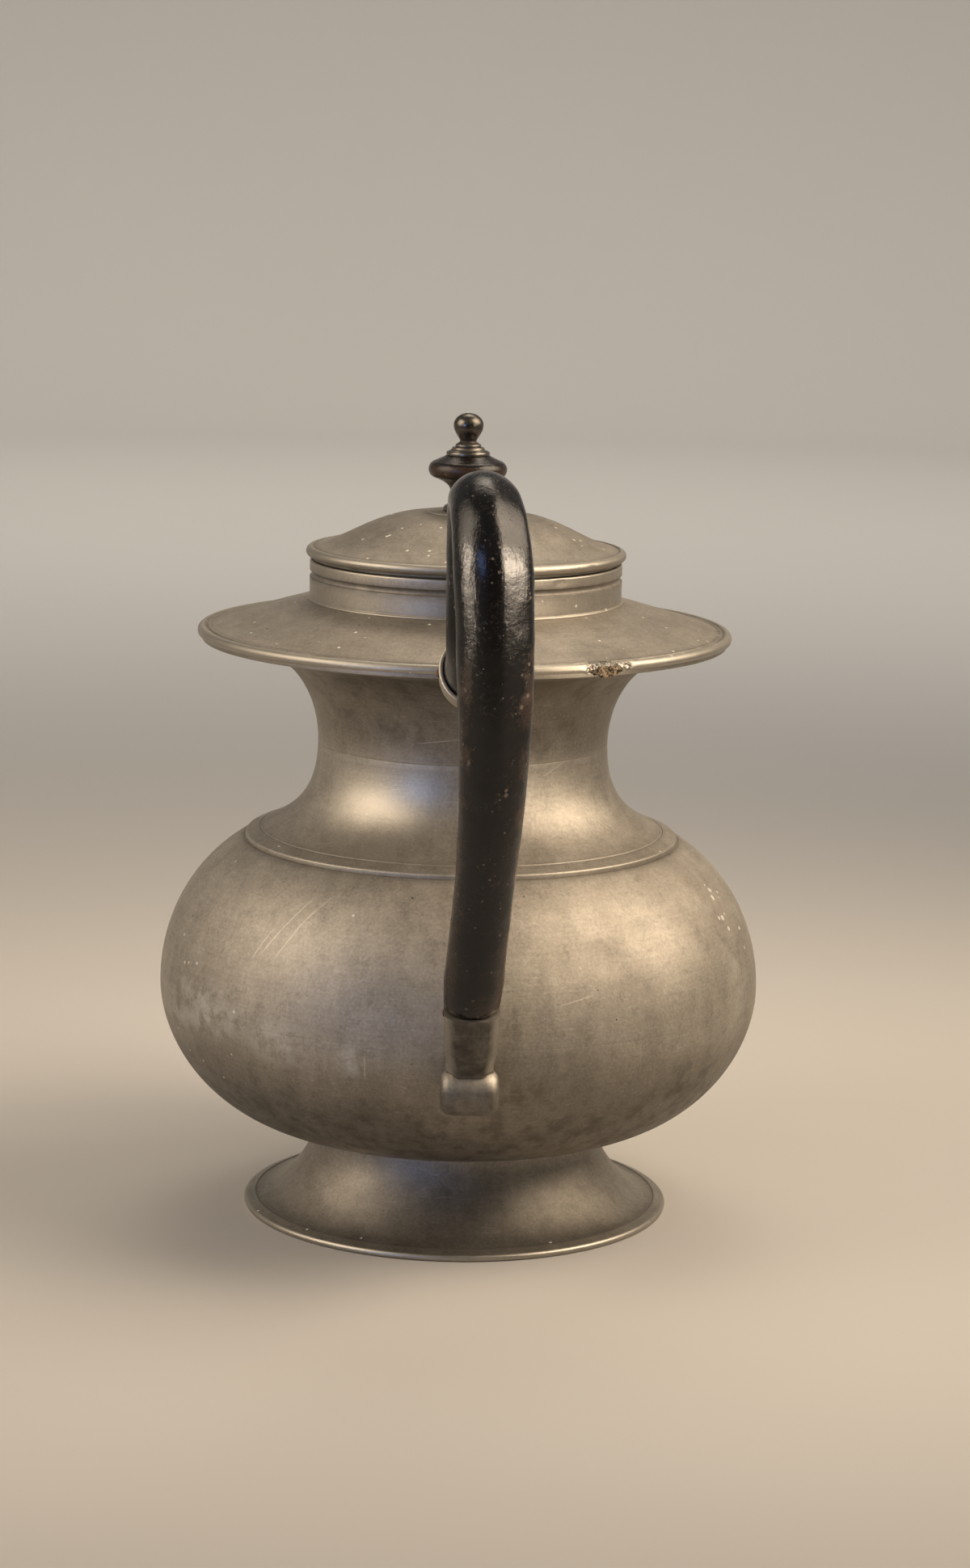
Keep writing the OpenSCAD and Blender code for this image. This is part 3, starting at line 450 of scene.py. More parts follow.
    # pale specks of dust and lime in a 2.2 mm pattern, on what faces up and where there is a fleck mark
    marks = {mark: addNode(tree, "ShaderNodeAttribute", attribute_name=mark).outputs["Fac"]
             for mark in ("grimeAndShade", "wearAndSheen", "bloom", "fleck", "stain", "dull")}
    speckCells = addNode(tree, "ShaderNodeTexVoronoi", {"Vector": place, "Scale": 1 / (2.2 * mm)}).outputs
    speckDraw = addNode(tree, "ShaderNodeSeparateColor", {"Color": speckCells["Color"]}).outputs
    facing = addNode(tree, "ShaderNodeSeparateXYZ", {"Vector": coords["Normal"]}).outputs
    lying = addNode(tree, "ShaderNodeMapRange",
                    {"Value": facing["Z"], "From Min": 0.75, "From Max": 1.0,
                     "To Min": look["dust"], "To Max": look["dust"] + look["dustUp"]})
    speckChance = addNode(tree, "ShaderNodeMath", {0: marks["fleck"], 1: lying}, operation="ADD")
    speckReach = addNode(tree, "ShaderNodeMath", {0: marks["fleck"], 1: 0.5, 2: 0.18},
                         operation="MULTIPLY_ADD")
    speckOn = addNode(tree, "ShaderNodeMath", {0: speckDraw["Green"], 1: speckChance},
                      operation="LESS_THAN")
    speckRound = addNode(tree, "ShaderNodeMath", {0: speckCells["Distance"], 1: speckReach},
                         operation="LESS_THAN")
    # the mottle breaks up the dirt and painted shade in corners, and the stains with their painted shade and
    # dark reflection
    grimeShadeBreakup = addNode(tree, "ShaderNodeMath", {0: noises["mottle"], 1: 1.3}, operation="MULTIPLY")
    stainShadeBreakup = addNode(tree, "ShaderNodeMapRange",
                        {"Value": noises["mottle"], "From Min": 0.3, "From Max": 0.62, "To Min": 0.45})
    shares = {"stained": stained, "scratch": scratch, "pits": pits, "wearAndSheen": marks["wearAndSheen"]}
    for share, a, b in (("grimeAndShade", marks["grimeAndShade"], grimeShadeBreakup), ("bloom", marks["bloom"], bloomEdge),
                        ("stain", stainShadeBreakup, marks["stain"]), ("speck", speckOn, speckRound)):
        shares[share] = addNode(tree, "ShaderNodeMath", {0: a, 1: b}, operation="MULTIPLY")
    colour = addNode(tree, "ShaderNodeMix",
                     {0: cloudy, 6: toLinear(look["mid"]), 7: toLinear(look["bright"])}, data_type="RGBA")
    # the fine patterns lighten and darken the metal a little
    tone = 1 - 0.5 * sum(look["tones"].values())
    for part, amount in look["tones"].items():
        tone = addNode(tree, "ShaderNodeMath", {0: noises[part], 1: amount, 2: tone},
                       operation="MULTIPLY_ADD")
    colour = addNode(tree, "ShaderNodeVectorMath", {0: colour, "Scale": tone}, operation="SCALE")
    rough = look["rough"]
    for part, amount in ((cloudy, -look["roughSpread"]), (noises["wipe"], look["wiped"]),
                         (marks["dull"], look["dulled"])):
        rough = addNode(tree, "ShaderNodeMath", {0: part, 1: amount, 2: rough}, operation="MULTIPLY_ADD")
    colour, rough, metal = paintLayers(tree, shares, look["layers"], [colour, rough, 1.0])
    fine = addNode(tree, "ShaderNodeMath", {0: noises["grain"], 1: 0.08, 2: rough},
                   operation="MULTIPLY_ADD")
    relief = addRelief(tree, ((noises["waves"], 0.3), (noises["lines"], 0.02), (noises["grain"], 0.035),
                              (pits, -0.06), (scratch, -0.02)))
    return endMaterial(material, tree, {"Base Color": colour, "Metallic": metal, "Roughness": fine,
                                        "Normal": relief})


# wood stained black and polished by hands: nearly black gloss with brown showing where it is rubbed
def makeBlackWood(name, look):
    material, tree = newMaterial(name)
    place = addNode(tree, "ShaderNodeTexCoord").outputs["Object"]
    run, rub = (addNode(tree, "ShaderNodeAttribute", attribute_name=mark).outputs["Fac"]
                for mark in ("run", "rub"))
    apart = addNode(tree, "ShaderNodeSeparateXYZ", {"Vector": place}).outputs
    # pores follow the length of the wood: 0.6 mm wide, 9 mm long, drawn coarser so that they show
    poreSpace = addNode(tree, "ShaderNodeCombineXYZ", {"X": apart["X"], "Y": apart["Y"], "Z": run})
    poreStretch = addNode(tree, "ShaderNodeVectorMath",
                          {0: poreSpace, 1: (1 / (0.6 * mm), 1 / (0.6 * mm), 1 / (9 * mm))},
                          operation="MULTIPLY")
    pores, patches, chips = (
        addNode(tree, "ShaderNodeTexNoise",
                {"Vector": space, "Scale": scale, "Detail": detail, "Roughness": roughness})
        for space, scale, detail, roughness in (
            (poreStretch, 1.0, 3.0, 0.5), (place, 1 / (9 * mm), 6.0, 0.65),
            (place, 1 / (1.1 * mm), 4.0, 0.7)))
    # chipped specks up to 1 mm across in a 1.6 mm pattern, crowded in patches
    cells = addNode(tree, "ShaderNodeTexVoronoi", {"Vector": place, "Scale": 1 / (1.6 * mm)}).outputs
    draw = addNode(tree, "ShaderNodeSeparateColor", {"Color": cells["Color"]}).outputs
    dotSize = addNode(tree, "ShaderNodeMapRange",
                      {"Value": draw["Red"], "From Min": look["dotsFrom"], "From Max": 1.0, "To Max": 0.4})
    crowd = addNode(tree, "ShaderNodeMapRange",
                    {"Value": patches, "From Min": 0.42, "From Max": 0.6, "To Min": 0.2})
    chipped = addNode(tree, "ShaderNodeMapRange", {"Value": chips, "From Min": 0.53, "From Max": 0.66})
    crowded, flaked = (addNode(tree, "ShaderNodeMath", {0: part, 1: crowd}, operation="MULTIPLY")
                       for part in (dotSize, chipped))
    dotEdge = addNode(tree, "ShaderNodeMath", {0: crowded, 1: cells["Distance"]}, operation="SUBTRACT")
    dots = addNode(tree, "ShaderNodeMapRange", {"Value": dotEdge, "From Min": -0.01, "From Max": 0.02})
    rubbed = addNode(tree, "ShaderNodeMath", {0: patches, 1: rub}, operation="ADD")
    bare = addNode(tree, "ShaderNodeMapRange",
                   {"Value": rubbed, "From Min": look["bareFrom"], "From Max": look["bareTo"]})
    shares = {"bare": bare, "flaked": flaked, "dots": dots, "pores": pores}
    colour, rough = paintLayers(tree, shares, look["layers"], [toLinear(look["stain"]), look["rough"]])
    relief = addRelief(tree, ((patches, 0.25), (pores, 0.05), (chips, 0.05), (dots, -0.09)))
    return endMaterial(material, tree, {"Base Color": colour, "Roughness": rough, "IOR": look["ior"],
                                        "Normal": relief})


# a crumbly mass in three tones: rust on the iron pins, corrosion where the brim has broken
def makeCrumb(name, look):
    material, tree = newMaterial(name)
    place = addNode(tree, "ShaderNodeTexCoord").outputs["Object"]
    lump = look["lump"] * mm
    lumps = addNode(tree, "ShaderNodeTexNoise",
                    {"Vector": place, "Scale": 1 / lump, "Detail": 5.0, "Roughness": 0.7})
    crumbs = addNode(tree, "ShaderNodeTexVoronoi", {"Vector": place, "Scale": 2 / lump})
    colour = toLinear(look["mid"])
    for tone, low, high in (("light", 0.45, 0.65), ("dark", 0.49, 0.41)):
        share = addNode(tree, "ShaderNodeMapRange", {"Value": lumps, "From Min": low, "From Max": high})
        colour = addNode(tree, "ShaderNodeMix", {0: share, 6: colour, 7: toLinear(look[tone])},
                         data_type="RGBA")
    relief = addRelief(tree, ((lumps, 0.4), (crumbs, 0.12)))
    return endMaterial(material, tree, {"Base Color": colour, "Metallic": look["metal"],
                                        "Roughness": look["rough"], "Normal": relief})


# each layer of a look: its share, how much of it shows, its colour, its roughness and, on metal, its metal
pewterLook = {
    "mid": "#9a9388", "bright": "#afa89c", "rough": 0.49, "roughSpread": 0.06, "wiped": 0.08, "dulled": 0.09,
    "dust": 0.002, "dustUp": 0.05, "tones": {"grain": 0.8, "lines": 0.24, "mottle": 0.8, "wipe": 0.5},
    # the dark stain layer also carries painted shade and painted dark reflection, the darkest layer painted
    # shade in hollows, the bright rubbed layer painted sheen
    "layers": [
        ("stained", 0.5, "#766f65", 0.56, 1.0), ("stain", 0.8, "#4a443d", 0.52, 1.0),
        ("wearAndSheen", 0.55, "#b7b1a5", 0.3, 1.0), ("scratch", 0.4, "#c9c3b8", 0.4, 1.0),
        ("pits", 0.85, "#3a352e", 0.6, 0.6), ("grimeAndShade", 0.75, "#3d372f", 0.62, 0.45),
        ("bloom", 0.65, "#d6d4ce", 0.64, 0.25), ("speck", 0.8, "#d8d4c8", 0.7, 0.0),
    ],
    "scratches": [(-130, 93, 77, 57, 22, 0.36), (-127, 92, 77, 60, 19, 0.3), (-124.5, 97, 75, 52, 13, 0.3),
                  (-134, 88, 79, 63, 11, 0.3), (-54, 132.5, 41, 24, 9, 0.4), (-109, 60, 84, 88, 8, 0.4),
                  (-70, 78, 83, 12, 12, 0.3), (-32, 60, 84, 40, 15, 0.3), (-100, 141, 43, 8, 16, 0.3)],
}
darkMetalLook = {
    "mid": "#55514c", "bright": "#6b665f", "rough": 0.2, "roughSpread": 0.04, "wiped": 0.04, "dulled": 0.0,
    "dust": 0.0, "dustUp": 0.0, "tones": {"grain": 0.8, "lines": 0.3, "mottle": 0.9, "wipe": 0.2},
    "layers": [
        ("stained", 0.9, "#2b2621", 0.42, 0.9), ("wearAndSheen", 0.5, "#9a9388", 0.24, 1.0),
        ("pits", 0.7, "#2c261f", 0.6, 0.6), ("grimeAndShade", 0.9, "#2a231c", 0.65, 0.4),
    ],
    "scratches": [],
}
gripLook = {
    "stain": "#070606", "rough": 0.18, "ior": 1.44, "bareFrom": 0.72, "bareTo": 0.95, "dotsFrom": 0.4,
    "layers": [("pores", 0.3, "#070606", 0.26), ("bare", 0.8, "#33251b", 0.4),
               ("flaked", 0.75, "#2a221c", 0.46), ("dots", 0.5, "#5c5046", 0.55)],
}
knobLook = {
    "stain": "#16110e", "rough": 0.2, "ior": 1.44, "bareFrom": 0.64, "bareTo": 0.9, "dotsFrom": 0.5,
    "layers": [("pores", 0.4, "#0d0a08", 0.36), ("bare", 0.75, "#4c3625", 0.4),
               ("flaked", 0.7, "#3b2b1f", 0.48), ("dots", 0.5, "#86694f", 0.5)],
}
rustLook = {"light": "#7d4a2a", "mid": "#53301d", "dark": "#2b1d15", "lump": 0.7, "rough": 0.8,
            "metal": 0.25}
crustLook = {"light": "#b39f82", "mid": "#7c6a54", "dark": "#15120f", "lump": 1.1, "rough": 0.9,
             "metal": 0.0}

pewter = makePewter("burnishedCastPewter", pewterLook)
darkMetal = makePewter("darkenedCastPewter", darkMetalLook)
blackWood = makeBlackWood("blackStainedWood", gripLook)
brownWood = makeBlackWood("wornTurnedWood", knobLook)
rust = makeCrumb("rustyIronWire", rustLook)
crust = makeCrumb("brokenPewterCrust", crustLook)
turnTree = makeTurnTree()
barTree = makeBarTree()
drillTree = makeDrillTree()
print("finishes:", len(bpy.data.materials), "materials")


# how far a place is from a spot on a turned surface, measured in the spot's half sizes
def farFrom(place, angle, height, wide, high):
    turn = (math.degrees(math.atan2(place.y, place.x)) - angle + 180) % 360 - 180
    return math.hypot(math.radians(turn) * math.hypot(place.x, place.y) / wide, (place.z - height) / high)


# marks of use, and painted shade, dark reflection and sheen, on a turned surface, each at an angle in degrees
# and a height, with its two half sizes
def setMarks(mesh, marks):
    for name, spots in marks.items():
        old = mesh.attributes.get(name)
        values = [item.value for item in old.data] if old else [0.0] * len(mesh.vertices)
        for i, vertex in enumerate(mesh.vertices):
            for *spot, amount in spots:
                far = farFrom(vertex.co / mm, *spot)
                values[i] = max(values[i], amount * max(0.0, 1 - far * far))
        setLayer(mesh, name, values)


# dirt with painted shade in hollow folds and rubbing on raised ones, on a piece that isn't turned, from how
# its edges fold
def markFolds(mesh, reach=0.5):
    shape = bmesh.new()
    shape.from_mesh(mesh)
    folds = []
    for vertex in shape.verts:
        angles = [edge.calc_face_angle_signed(0.0) / max(edge.calc_length() / mm, reach)
                  for edge in vertex.link_edges]
        folds.append(sum(angles) / max(len(angles), 1))
    shape.free()
    setLayer(mesh, "wearAndSheen", [min(max(fold * 1.4 - 0.1, 0.0), 1.0) for fold in folds])
    setLayer(mesh, "grimeAndShade", [min(max(-fold * 1.6 - 0.1, 0.0), 1.0) for fold in folds])
    return mesh


# soft knocks in the metal: each pushes the wall in by depth over a round of the given half sizes
def setDents(mesh, dents):
    for vertex in mesh.vertices:
        place = vertex.co / mm
        radius = math.hypot(place.x, place.y)
        for *spot, depth in dents:
            far = farFrom(place, *spot)
            if far < 1 and radius > 1:
                push = depth * (1 - far * far) ** 2
                vertex.co.x -= push * mm * place.x / radius
                vertex.co.y -= push * mm * place.y / radius


def addWorn(name, mesh, size, body, node):  # a pewter piece with its marks of use, among them painted shade, dark reflection and sheen
    setMarks(mesh, size["marks"])
    setDents(mesh, size.get("dents", []))
    addPiece(name, mesh, pewter, body, "pewter", node)


footSize = {"edgeR": 60.7, "height": 24.5, "waistR": 40.1, "band": 3.5, "bandH": 2.4, "wall": 2.0,
            "beadW": 1.2, "beadH": 1.1, "beadZ": 0.7, "toePull": (8.2, 1), "waistPull": 9, "insideFrom": 4.2,
            # a painted dark reflection at the front and right front of the foot
            "marks": {"stain": [(-90, 14, 45, 14, 0.6), (-45, 10, 42, 18, 0.6)]}}
size = footSize
toe = (size["edgeR"] - size["band"], size["bandH"])
trumpet = bezier(toe, (toe[0] - size["toePull"][0], toe[1] + size["toePull"][1]),
                 (size["waistR"], size["height"] - size["waistPull"]), (size["waistR"], size["height"]))
footOutline = [(toe[0] - 0.4, 0), (size["edgeR"] - 0.3, 0)]
footOutline += arc((size["edgeR"] - size["beadW"], size["beadZ"]), size["beadW"], size["beadH"], -35, 80, 8)
footOutline += [(toe[0] + 0.3, size["bandH"] + 0.2)] + trumpet
footOutline += between(moved(trumpet, size["wall"]), size["insideFrom"], size["height"])[::-1]
addWorn("footRing", turned("footRing", footOutline, pewter), size, "pot", "foot")

bowlSize = {"seatR": 40.4, "bellyR": 85.0, "bellyZ": 65.5, "rise": 46.5, "coreR": 42.0,
            "shoulderR": 62.0, "wall": 2.0, "seatPull": 28, "bellyPull": 18.5,
            "marks": {
                "bloom": [(-147, 67, 22, 9, 0.65), (-127, 63, 13, 8, 0.6), (-158, 60, 12, 10, 0.45),
                          (-112, 61, 4, 7, 0.7), (-24, 73, 10, 16, 0.35)],
                "fleck": [(-21, 93, 6, 9, 0.55), (-18, 84, 5, 6, 0.4), (-150, 66, 30, 22, 0.06)],
                # painted dark reflection: the lower belly is darker towards the bottom all round, and more at
                # the front
                "stain": [(0, 34, 1e6, 28, 1.0), (-40, 46, 26, 16, 1.0), (-84, 50, 40, 18, 0.9)],
                # dirt with painted shade in the creases at the shoulder step and where the foot joins
                "grimeAndShade": [(0, 106.7, 1e6, 0.8, 0.7), (0, 25, 1e6, 2.5, 0.5)],
                "dull": [(0, 86, 1e6, 60, 1.0)]},
            "dents": [(-63, 88, 9, 6, 0.5), (-48, 93, 16, 9, 0.25), (-132, 84, 14, 16, 0.22),
                      (-118, 62, 12, 14, 0.2), (-75, 55, 18, 10, 0.25), (30, 80, 20, 12, 0.3)]}
size = bowlSize
bellyZ = size["bellyZ"]
spread = size["bellyR"] - size["coreR"]
shoulderTurn = math.degrees(math.acos((size["shoulderR"] - size["coreR"]) / spread))
shoulderZ = bellyZ + size["rise"] * math.sin(math.radians(shoulderTurn))
baseZ = footSize["height"]
bowlOuter = bezier((size["seatR"], baseZ), (size["seatR"] + size["seatPull"], baseZ),
                   (size["bellyR"], bellyZ - size["bellyPull"]), (size["bellyR"], bellyZ), 44)
crownOuter = arc((size["coreR"], bellyZ), spread, size["rise"], 0, shoulderTurn, 40)
crownInner = arc((size["coreR"], bellyZ), spread - size["wall"], size["rise"] - size["wall"], 0, 90, 40)
bowlProfile = bowlOuter + crownOuter[1:]
lowerOutline = [(0, baseZ)] + bowlOuter
lowerOutline += between(moved(bowlOuter, size["wall"]), baseZ + size["wall"], bellyZ)[::-1]
lowerOutline += [(0, baseZ + size["wall"])]
upperOutline = crownOuter + between(crownInner, bellyZ, shoulderZ)[::-1]
for name, outline, node in (("lowerBowlShell", lowerOutline, "lower_bowl"),
                            ("upperBowlShell", upperOutline, "upper_bowl")):
    mesh = turned(name, outline, pewter, turns=224, edge=0.04, gap=1.6, rubbed=0.0)
    if node == "upper_bowl":
        strainer = {"pitch": 6.5, "radius": 1.6, "rows": 4, "at": 84, "depth": 30}
        grid = bpy.data.meshes.new("strainerPlaces")
        step = strainer["pitch"]
        grid.from_pydata([((k + (i % 2) / 2 - 0.25) * step * mm, strainer["at"] * mm,
                           (bellyZ + 2 * strainer["radius"] + i * step * math.sqrt(0.75)) * mm)
                          for i in range(strainer["rows"]) for k in (-1, 0, 1)], [], [])
        drills = grown(grid, drillTree, {"Radius": strainer["radius"] * mm, "Depth": strainer["depth"] * mm})
        mesh = cleaned(combined(mesh, drills, "DIFFERENCE"))
    addWorn(name, mesh, size, "pot", node)

neckSize = {"ledge": 0.9, "step": 1.55, "round": 0.6, "waistR": 40.9, "rise": 27.55, "flareW": 19.0,
            "flareH": 26.0, "lipSlope": 0.2, "lipR": 73.7, "lipT": 1.3, "wall": 2.0, "lineR": 57.0,
            "lineDepth": 0.2, "stepLead": (-11.7, 4.4), "waistPull": 16.3,
            # painted shade: the upper neck below the brim is darker all round and at both front sides
            "marks": {"stain": [(-120, 146, 45, 16, 0.8), (-60, 146, 40, 16, 0.8), (0, 156, 1e6, 12, 0.8)],
                      # the bright rubbed patch on the neck's left front is a painted highlight
                      "bloom": [(-90, 133.5, 70, 0.9, 0.5)], "wearAndSheen": [(-124, 124, 26, 16, 0.9)],
                      "dull": [(0, 107, 1e6, 9, 1.0), (-55, 117, 18, 11, 0.7)]}}
size = neckSize
neckZ = shoulderZ + size["rise"]
edgeR = bowlSize["shoulderR"] - size["ledge"]
stepAt = Vector((edgeR - size["round"], shoulderZ + size["step"] - size["round"]))
lead = Vector(size["stepLead"])
stepTurn = 90 - math.degrees(math.atan2(lead.y, -lead.x))
root = stepAt + size["round"] * along(stepTurn)
sweep = bezier(root, root + lead, (size["waistR"], neckZ - size["waistPull"]), (size["waistR"], neckZ), 48)
flareStop = 90 + math.degrees(math.atan(size["lipSlope"] * size["flareW"] / size["flareH"]))
flare = arc((size["waistR"] + size["flareW"], neckZ), size["flareW"], size["flareH"], 180, flareStop, 36)
lipZ = flare[-1][1] + size["lipSlope"] * (size["lipR"] - flare[-1][0])
brimSeat = lipZ + size["lipT"]
neckInner = moved(sweep + flare[1:] + [(size["lipR"], lipZ)], size["wall"])
neckOutline = [(edgeR, shoulderZ)] + arc(stepAt, size["round"], size["round"], 0, stepTurn, 6)
# a fine turned line just above the step
lineR = size["lineR"]
neckOutline += [p for p in sweep[1:] if p[0] > lineR + 0.3]
neckOutline += [(r, readAt(sorted(sweep), r) - depth)
                for r, depth in ((lineR + 0.2, 0), (lineR, size["lineDepth"]), (lineR - 0.3, 0))]
neckOutline += [p for p in sweep if p[0] < lineR - 0.4]
neckOutline += between(neckInner, shoulderZ, neckZ)[::-1]
flareOutline = flare + [(size["lipR"], lipZ), (size["lipR"], brimSeat)]
flareOutline += between(neckInner, neckZ, brimSeat)[::-1]
for name, outline, node in (("neckShell", neckOutline, "neck"), ("flareShell", flareOutline, "flare")):
    addWorn(name, turned(name, outline, pewter, edge=0.12, rubbed=0.45), size, "pot", node)
print("body:", "foot, bowl, neck and flare turned")

brimSize = {"radius": 75.0, "bead": 1.5, "rise": 9.2, "wall": 2.0, "seatW": 4.0,
            "chipAngle": -61.4, "chipHalf": 5.2, "chipIn": 4.2, "peakIn": 3.1, "peakUp": 2.5,
            "marks": {"fleck": [(-90, 168, 110, 12, 0.05)],
                      "stain": [(-60, 167, 14, 6, 0.6), (0, 170, 1e6, 14, 0.3)],
                      "dull": [(0, 170, 1e6, 20, 0.8)]}}
size = brimSize
collarSize = {"radius": 43.8, "height": 11.0, "wall": 1.8, "band": 3.0, "grooveIn": 0.7, "grooveH": 1.8,
              # the bright rubbed band round the collar's lower part is painted sheen
              "marks": {"wearAndSheen": [(0, 177, 1e6, 6, 0.8)], "fleck": [(-60, 178, 40, 6, 0.03)]},
              "dents": [(-55.6, 184.3, 2.2, 1.6, 0.4)]}
beadUp = 0.6 * size["bead"]
collarZ = brimSeat + beadUp + size["rise"]
brimEdge = arc((size["radius"] - size["bead"], brimSeat + beadUp), size["bead"], size["bead"],
               -math.degrees(math.asin(beadUp / size["bead"])), 125, 16)
peak = (size["radius"] - size["peakIn"], brimSeat + size["peakUp"])
brimTop = bezier((peak[0] - 0.8, peak[1] - 0.15), (peak[0] - 7.8, peak[1] + 1.85),
                 (collarSize["radius"] + 10, collarZ - 2.7), (collarSize["radius"] + 1, collarZ), 30)
holeR = collarSize["radius"] - collarSize["wall"]
brimOutline = [(size["radius"] - size["seatW"], brimSeat)] + brimEdge
brimOutline += [(peak[0] + 0.45, peak[1] - 0.5), (peak[0] + 0.15, peak[1] - 0.05), peak,
                (peak[0] - 0.4, peak[1] - 0.1)] + brimTop
brimOutline += [(holeR, collarZ), (holeR, collarZ - size["wall"])] + moved(brimTop, size["wall"])[::-1]
mesh = turned("brimPlate", brimOutline, pewter, turns=480, edge=0.2, gap=1.2)
setMarks(mesh, size["marks"])


# the broken place on the edge: the bead is eaten away in lumps
def breakEdge(mesh, size):
    def share(co):
        turn = abs(math.degrees(math.atan2(co.y, co.x)) - size["chipAngle"])
        return max(0.0, 1 - turn / (size["chipHalf"] + 0.8))

    shape = bmesh.new()
    shape.from_mesh(mesh)
    near = [f for f in shape.faces if share(f.calc_center_median()) > 0
            and f.calc_center_median().xy.length > (size["radius"] - size["chipIn"] - 0.6) * mm]
    edges = list({e for f in near for e in f.edges})
    bmesh.ops.subdivide_edges(shape, edges=edges, cuts=2, use_grid_fill=True)
    for vertex in shape.verts:
        place = vertex.co / mm
        radius = place.xy.length
        inward = min(max((radius - size["radius"] + size["chipIn"]) / 2.2, 0), 1)
        amount = share(vertex.co) ** 0.5 * inward
        if amount <= 0:
            continue
        lumps = noise.noise(place * 0.9) + 0.6 * noise.noise(place * 2.1 + Vector((7, 3, 1)))
        eaten = amount * max(0.0, 0.55 + 0.9 * lumps)
        vertex.co.xy -= place.xy.normalized() * eaten * 1.3 * mm
        vertex.co.z -= amount * (0.25 + 0.5 * noise.noise(place * 1.6)) * mm
    shape.to_mesh(mesh)
    shape.free()
    return cleaned(mesh)


addPiece("brimPlate", breakEdge(mesh, size), pewter, "pot", "pewter", "brim")

crustSize = {"from": -66.6, "to": -56.6, "radius": 73.9, "drop": 0.9, "in": 1.35, "up": 1.05,
             "steps": 110, "sides": 36}
size = crustSize
rings = []
for i in range(size["steps"] + 1):
    t = i / size["steps"]
    angle = math.radians(size["from"] + (size["to"] - size["from"]) * t)
    taper = max(0.02, math.sin(math.pi * t)) ** 0.6
    hang = size["drop"] * math.exp(-((t - 0.52) / 0.2) ** 2)
    ring = []
    for j in range(size["sides"]):
        a = 2 * math.pi * j / size["sides"]
        seed = Vector((9 * t, 1.3 * math.cos(a), 1.3 * math.sin(a)))
        lump = 1 + 0.7 * noise.noise(seed * 1.1) + 0.5 * noise.noise(seed * 2.7 + Vector((4, 9, 2)))
        lump = min(max(lump, 0.35), 1.5)
        out = size["in"] * math.cos(a) * lump * taper
        rise = size["up"] * math.sin(a) * lump * taper - (hang if math.sin(a) < 0 else 0) * taper
        radius = size["radius"] + min(out, 1.05)
        ring.append((radius * math.cos(angle), radius * math.sin(angle), brimSeat + 0.35 + rise))
    rings.append(ring)
addPiece("brimCrust", lofted("brimCrust", rings), crust, "pot", "pewter")

size = collarSize
collarTop = collarZ + size["height"]
grooveZ = collarTop - size["band"] - size["grooveH"] / 2
collarOutline = [(holeR, collarZ), (size["radius"] + 0.5, collarZ), (size["radius"] + 0.35, collarZ + 0.35),
                 (size["radius"], collarZ + 0.6)]
collarOutline += arc((size["radius"], grooveZ), size["grooveIn"], size["grooveH"] / 2, 270, 90, 12)
collarOutline += [(size["radius"], collarTop - 0.35), (size["radius"] - 0.35, collarTop), (holeR, collarTop)]
mesh = turned("collarBand", collarOutline, pewter, edge=0.2, gap=0.9)
addWorn("collarBand", mesh, size, "pot", "collar")
print("brim:", "plate, broken edge and collar made")

lidSize = {"overhang": 1.1, "gap": 0.3, "seat": 0.6, "rimH": 2.8, "rimW": 1.6, "rise": 10.2,
           "bossR": 11.6, "bossH": 0.4, "wall": 1.8, "bezelIn": 1.4, "bezelGap": 0.6, "bezelWall": 1.6,
           "marks": {"fleck": [(-90, 195, 60, 9, 0.04), (-30, 192, 30, 7, 0.06)],
                     "stain": [(0, 198, 1e6, 16, 0.5)], "dull": [(0, 196, 1e6, 20, 0.8)]},
           "dents": [(-41.6, 188, 1.6, 1.2, 0.35), (-14, 188, 1.4, 1.2, 0.25)],
           "rimPull": (8.4, 1.7), "bossPull": 14, "rodHole": 1.55}
size = lidSize
lidR = collarSize["radius"] + size["overhang"]
lidSeat = collarTop + size["gap"]
rimZ = lidSeat + size["seat"]
lidTop = rimZ + size["rimH"] + size["rise"]
rimMid = lidR - size["rimW"]
domeFoot = (rimMid - 1.4, rimZ + size["rimH"] + 0.1)
domeTop = (size["bossR"], lidTop - size["bossH"])
dome = bezier(domeFoot, (domeFoot[0] - size["rimPull"][0], domeFoot[1] + size["rimPull"][1]),
              (domeTop[0] + size["bossPull"], domeTop[1]), domeTop, 40)
bezelR = holeR - size["bezelGap"]
underZ = domeTop[1] - size["wall"]
rodHole = size["rodHole"]
lidOutline = [(rodHole, underZ), (size["bossR"] - 0.5, underZ)]
lidOutline += [p for p in moved(dome, size["wall"])[::-1] if p[0] < bezelR - size["bezelWall"] - 0.5]
lidOutline += [(bezelR - size["bezelWall"] - 0.3, lidSeat + size["bezelIn"]),
               (holeR, lidSeat + size["bezelIn"]), (holeR, lidSeat),
               (collarSize["radius"] - 0.6, lidSeat), (collarSize["radius"] - 0.6, rimZ)]
lidOutline += arc((rimMid, rimZ + size["rimH"] / 2), size["rimW"], size["rimH"] / 2, -90, 95, 18)
lidOutline += [(rimMid - 0.5, domeFoot[1] - 0.42), (rimMid - 0.9, domeFoot[1] - 0.2)]
lidOutline += dome + [(size["bossR"] - 0.2, lidTop), (rodHole, lidTop)]
addWorn("lidDome", turned("lidDome", lidOutline, pewter, edge=0.2), size, "lid", "lid")

